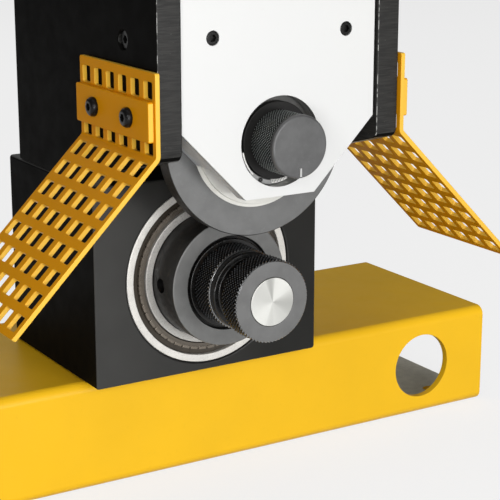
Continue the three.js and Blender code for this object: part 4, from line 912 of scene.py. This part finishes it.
def dial():
    """Down in the knob's bore: the ring with a pale scale and ticks, the stop plate, its screw, and a pale
    arc on the bore's lower left that is a painted reflection.
    """
    dress("dial_ring", ring(8, 24.5, -69.3, -67.2, "y", AXIS, 0.2, 128), "ram", DIAL)
    make("dial_scale", plate(arc_band(21.9, 24.3, -95, -68), [], -69.75, -69.25, "xz", 0.1), "ram", PALE)
    ticks = []
    for i in range(11):
        angle = radians(-93.5 + 2.4 * i)
        reach = 23.9 if i % 2 == 0 else 23.3
        long = Vector((cos(angle), sin(angle)))
        wide = Vector((-long.y, long.x)) * 0.14
        foot, tip = long * 22.2, long * reach
        loop = [foot - wide, tip - wide, tip + wide, foot + wide]
        ticks.append(plate([(p.x, p.y + ROLL_Z) for p in loop], [], -69.85, -69.7, "xz", 0))
    make("dial_ticks", joined(*ticks), "ram", OXIDE)
    start, end, back = 224, 262, -69.5
    stop = plate(arc_band(21.7, 24.4, start, end), [], -72.9, back, "xz", 0.3)
    dress("dial_stop_plate", stop, "ram", STOP)
    # Painted reflection: a thin pale arc on the bore's lower left, where the bore wall reflects the white
    # surroundings.
    make("bore_painted_reflection", plate(arc_band(23.1, 23.9, 190, start), [], -76.4, -75.8, "xz", 0.1), "ram", PALE)
    middle = radians((start + end) / 2)
    centre = (23.05 * cos(middle), 0, ROLL_Z + 23.05 * sin(middle))
    screw = [(0, -74.1), (1.1, -74.1), (1.1, -73.1), (0.5, -73.1), (0.5, back), (0, back)]
    screw = lathed(screw, [0, 0.3, 0.1, 0, 0, 0], 3, "y", centre, 32)
    dress("stop_plate_screw", screw, "ram", OXIDE)


# The guards and the bars that clamp them.

FOLD_Z = 91.0
GUARD_OUT = 78.2
SHEET = 2.7
BEND = 2.4
BEND_REACH = BEND * tan(radians(22.5))
BAR_SCREWS = (("front", -58.5), ("rear", -18.5))
BAR_SCREW_Z = 109.2
HOLE_PITCH = 14.2
HOLE_HALF = 4.6


def folded(side, y, along, deep):
    """Where the flat sheet's point goes: along is its distance above the fold, deep from the outer face."""
    middle = Vector((GUARD_OUT + BEND, FOLD_Z + BEND_REACH))
    if along >= BEND_REACH:
        x, z = GUARD_OUT - deep, FOLD_Z + along
    else:
        share = min(1.0, (BEND_REACH - along) / (2 * BEND_REACH))
        angle = pi + radians(45) * share
        point = middle + Vector((cos(angle), sin(angle))) * (BEND + deep)
        beyond = max(0.0, -BEND_REACH - along) * sqrt(0.5)
        x, z = point.x + beyond, point.y - beyond
    return side * x, y, z


def guard(name, side):
    """A folded sheet with a grid of square holes at one pitch, and two slots behind the clamp bar."""
    outer = soften(box_loop(-82, 5, -116.4, 43.2), 1.2, 4)
    holes = []
    for i in range(6):
        y = -74 + HOLE_PITCH * i
        for along in [33.8, 5.2] + [-8.5 - HOLE_PITCH * j for j in range(8)]:
            square = box_loop(y - HOLE_HALF, y + HOLE_HALF, along - HOLE_HALF, along + HOLE_HALF)
            holes.append(soften(square, 1.0, 3))
    centre = BAR_SCREW_Z - FOLD_Z
    for _, y in BAR_SCREWS:
        holes.append(soften(box_loop(y - 3.3, y + 3.3, centre - 8, centre + 8), 3.2, 8))
    sheet = thickened(flat_sheet(outer, holes), 0, SHEET, 0.3)
    for line in (-1, -0.5, 0, 0.5, 1):
        everything = sheet.verts[:] + sheet.edges[:] + sheet.faces[:]
        bmesh.ops.bisect_plane(sheet, geom=everything, dist=1e-5, plane_co=(0, line * BEND_REACH, 0),
                               plane_no=(0, 1, 0))
    for vert in sheet.verts:
        vert.co = folded(side, *vert.co)
    whole = dress(f"guard_{name}", sheet, f"{name}_guard", GUARD_PAINTED_SHADE)
    # Painted highlight: the sheet's cut edges take the lighter yellow.
    repaint(whole, EDGE_PAINTED_HIGHLIGHT, lambda c, n: abs(n.x if c.z > FOLD_Z else (side * n.x + n.z) * 0.7) < 0.35)


def clamp_bar(name, side):
    span = sorted((side * 78.4, side * 81.6))
    holes = [circle(y, BAR_SCREW_Z, 3.3, 32) for _, y in BAR_SCREWS]
    outline = soften(box_loop(-80.5, 3.5, 98.7, 119.7), 1.2, 4)
    bar = dress(f"clamp_bar_{name}", plate(outline, holes, *span, "yz", 0.55), "frame", GUARD_PAINTED_SHADE)
    # Painted highlight: the bar's front face takes the lighter yellow.
    repaint(bar, EDGE_PAINTED_HIGHLIGHT, lambda c, n: n.y < -0.9)
    under, top, tip = side * 81.8, side * 85.2, side * 64.6
    dome = [(0, top), (2.9, top)]
    for step in range(1, 7):
        angle = pi / 2 * step / 6
        dome.append((2.9 + 2.4 * sin(angle), top - side * 2.7 * (1 - cos(angle))))
    dome += [(5.3, under), (3, under), (3, tip), (0, tip)]
    low, high = sorted((top - side * 2.2, top + side))
    for label, y in BAR_SCREWS:
        centre = (0, y, BAR_SCREW_Z)
        socket = turned([(0, low), (2.3, low), (2.3, high), (0, high)], "x", centre, 6)
        screw = turned(dome, "x", centre, 56)
        dress(f"guard_screw_{name}_{label}", screw, "frame", SCREW, [socket])


# The cylinder and the hand pump.

ROD_Y = -46.3
SEAT_Z = PLATE_TOP + 0.2
PUMP_TOP = SEAT_Z + 66
PIVOT = Vector((0, 49, 346.2))
PLUNGER_AT = (0, 25, 0)
RELEASE_AT = (0, 35, 282.2)


def cylinder():
    low, top = SEAT_Z, SEAT_Z + 92
    profile = [(30, low), (49, low), (49, low + 10), (42, low + 10), (42, top - 6), (36, top), (0, top),
               (0, top - 12), (30, top - 12)]
    body = turned(soften(profile, [0.5, 1, 1, 2, 1.2, 1.2, 0, 0, 1], 4), "z", (0, ROD_Y, 0), 128)
    filler_at = (26, ROD_Y, 0)
    hole = rod(4.3, top - 8.3, top + 1, "z", filler_at, 0, 32)
    dress("cylinder_body", body, "frame", BLACK, [hole])
    head = plate(circle(filler_at[0], filler_at[1], 8, 6), [], top + 0.2, top + 7.2, "xy", 0.6)
    plug = joined(head, rod(4, top - 8, top + 1, "z", filler_at))
    dress("filler_plug", plug, "frame", GROUND)
    gland = ring(14.3, 29.8, low + 0.2, low + 13.2, "z", (0, ROD_Y, 0), 0.5, 96)
    dress("gland_ring", gland, "frame", BRONZE)


def pump():
    block = plate(soften(box_loop(-28, 28, SEAT_Z, PUMP_TOP), 2.5, 4), [], 8, 62, "xz", 1.5)
    ears = []
    for side in (-1, 1):
        span = sorted((side * 7.5, side * 15.5))
        foot, top = PUMP_TOP - 3, PUMP_TOP + 31
        shape = soften([(39, foot), (59, foot), (59, top), (39, top)], [0, 0, 9, 9], 8)
        ears.append(plate(shape, [circle(PIVOT.y, PIVOT.z, 4.2, 32)], *span, "yz", 0.8))
    bores = [rod(8.3, PUMP_TOP - 48, PUMP_TOP + 1, "z", PLUNGER_AT, 0, 48),
             rod(4.3, 11, 29, "x", RELEASE_AT, 0, 32)]
    dress("pump_block", block, "frame", BLACK, bores)
    make("pump_ears", joined(*ears), "frame", BLACK)
    dress("lever_pin", rod(4, -18, 18, "x", PIVOT, 0.6, 40), "frame", GROUND)
    plunger = rod(8, PUMP_TOP - 26, PIVOT.z - 4.8, "z", PLUNGER_AT, 0.8, 48)
    dress("pump_plunger", plunger, "plunger", GROUND)

    lean = Matrix.Translation(PIVOT) @ Matrix.Rotation(-2 * pi * 0.17, 4, "X")
    hub = ring(4.3, 8, -6, 6, "x", PIVOT, 0.6, 64)
    arm = moved(plate(soften(box_loop(-190, -6.5, -5.33, 5.33), 1.2, 3), [], -6, 6, "yz", 0.8), lean)
    toe = plate(soften(box_loop(-26, -6.5, -4.5, 4.5), [2.5, 0, 0, 2.5], 4), [], -6, 6, "yz", 0.8)
    toe = moved(toe, Matrix.Translation(PIVOT))
    dress("pump_lever", joined(hub, arm, toe), "lever", OXIDE)
    outline = [(0, -193), (12.5, -193), (12.5, -100), (11.5, -97), (0, -97)]
    for i in range(8):
        start = -184 + 9.5 * i
        rib = [(12.5, start), (11.9, start + 1), (11.9, start + 3.5), (12.5, start + 4.5)]
        outline[2 + 4 * i:2 + 4 * i] = rib
    radii = [0, 3.4] + [0.4] * (len(outline) - 4) + [1, 0]
    grip = lathed(outline, radii, 3, count=64)
    dress("lever_grip", moved(grip, lean), "lever", RUBBER)

    _, y, z = RELEASE_AT
    lobes = []
    for i in range(96):
        angle = 2 * pi * i / 96
        reach = 12 - 1.6 * (0.5 - 0.5 * cos(6 * angle))
        lobes.append((y + reach * cos(angle), z + reach * sin(angle)))
    release = joined(plate(lobes, [], 28.4, 43, "yz", 1.2), rod(4, 12, 30, "x", RELEASE_AT, 0.3, 32))
    dress("release_knob", release, "release", OXIDE)


base()
bearing_block()
bearings()
drive_shaft()
drive_roll()
side_plates()
back_and_crown()
front_cheek()
ram()
upper_roll()
knob()
dial()
for label, way in SIDES:
    guard(label, way)
    clamp_bar(label, way)
cylinder()
pump()


# The floor, the light and the camera, in metres.

LAMPS_AIM = Vector((0, -0.08, 0.2))


def glow(tree, socket, rays, seen, always=0.0):
    """Lights a socket always by so much, and by seen more on those kinds of ray, so that it shows pale."""
    path = tree.nodes.new("ShaderNodeLightPath")
    either = tree.nodes.new("ShaderNodeMath")
    either.operation = "ADD"
    either.use_clamp = True
    either.inputs[1].default_value = 0.0
    for place, ray in enumerate(rays):
        tree.links.new(path.outputs[ray], either.inputs[place])
    strength = tree.nodes.new("ShaderNodeMath")
    strength.operation = "MULTIPLY_ADD"
    strength.inputs[1].default_value = seen
    strength.inputs[2].default_value = always
    tree.links.new(either.outputs[0], strength.inputs[0])
    tree.links.new(strength.outputs[0], socket)


def floor():
    mesh = bpy.data.meshes.new("floor")
    ground = bmesh.new()
    bmesh.ops.create_grid(ground, x_segments=1, y_segments=1, size=12.0)
    ground.to_mesh(mesh)
    ground.free()
    obj = bpy.data.objects.new("floor", mesh)
    bpy.context.scene.collection.objects.link(obj)
    material = bpy.data.materials.new("floor")
    material.use_nodes = True
    shader = next(n for n in material.node_tree.nodes if n.type == "BSDF_PRINCIPLED")
    shader.inputs["Base Color"].default_value = (0.2, 0.2, 0.2, 1)
    shader.inputs["Roughness"].default_value = 0.9
    shader.inputs["Specular IOR Level"].default_value = 0.1
    shader.inputs["Emission Color"].default_value = (1, 1, 1, 1)
    glow(material.node_tree, shader.inputs["Emission Strength"], ("Is Camera Ray", "Is Glossy Ray"), 0.78)
    mesh.materials.append(material)


def lamp(name, azimuth, elevation, distance, width, height, power):
    """A soft rectangle of light, so many degrees round from the front and up, that faces the machine."""
    data = bpy.data.lights.new(name, "AREA")
    data.shape = "RECTANGLE"
    data.size, data.size_y = width, height
    data.energy = power
    obj = bpy.data.objects.new(name, data)
    bpy.context.scene.collection.objects.link(obj)
    a, e = radians(azimuth), radians(elevation)
    away = Vector((sin(a) * cos(e), -cos(a) * cos(e), sin(e)))
    obj.location = LAMPS_AIM + away * distance
    obj.rotation_euler = (-away).to_track_quat("-Z", "Y").to_euler()


def world():
    scene_world = bpy.data.worlds.new("studio")
    bpy.context.scene.world = scene_world
    scene_world.use_nodes = True
    background = next(n for n in scene_world.node_tree.nodes if n.type == "BACKGROUND")
    background.inputs["Color"].default_value = (0.98, 0.99, 1, 1)
    glow(scene_world.node_tree, background.inputs["Strength"], ("Is Camera Ray",), 0.74, 0.1)


def camera():
    data = bpy.data.cameras.new("photo_camera")
    data.lens = 110.93
    data.sensor_width = 36
    data.shift_x = 0.0008
    data.shift_y = 0.002
    data.clip_start, data.clip_end = 0.05, 50
    obj = bpy.data.objects.new("photo_camera", data)
    bpy.context.scene.collection.objects.link(obj)
    obj.location = (-0.43968, -0.8454, 0.37073)
    toward = Vector((0.50679, 0.82378, -0.25406))
    obj.rotation_euler = toward.to_track_quat("-Z", "Y").to_euler()
    bpy.context.scene.camera = obj


floor()
world()
lamp("key", -7, 12, 2.4, 2.3, 1.4, 40)
lamp("low", 13, -2, 1.7, 0.5, 0.2, 4)
lamp("low_left", -32, -3, 1.7, 0.8, 0.2, 6.5)
lamp("edge", -53, 20, 1.6, 0.07, 0.6, 2.8)
lamp("top", 20, 80, 1.8, 1.6, 1.6, 6)
lamp("back", 170, 32, 2.6, 2.2, 1.4, 6)
camera()
bpy.context.scene.view_settings.view_transform = "Standard"
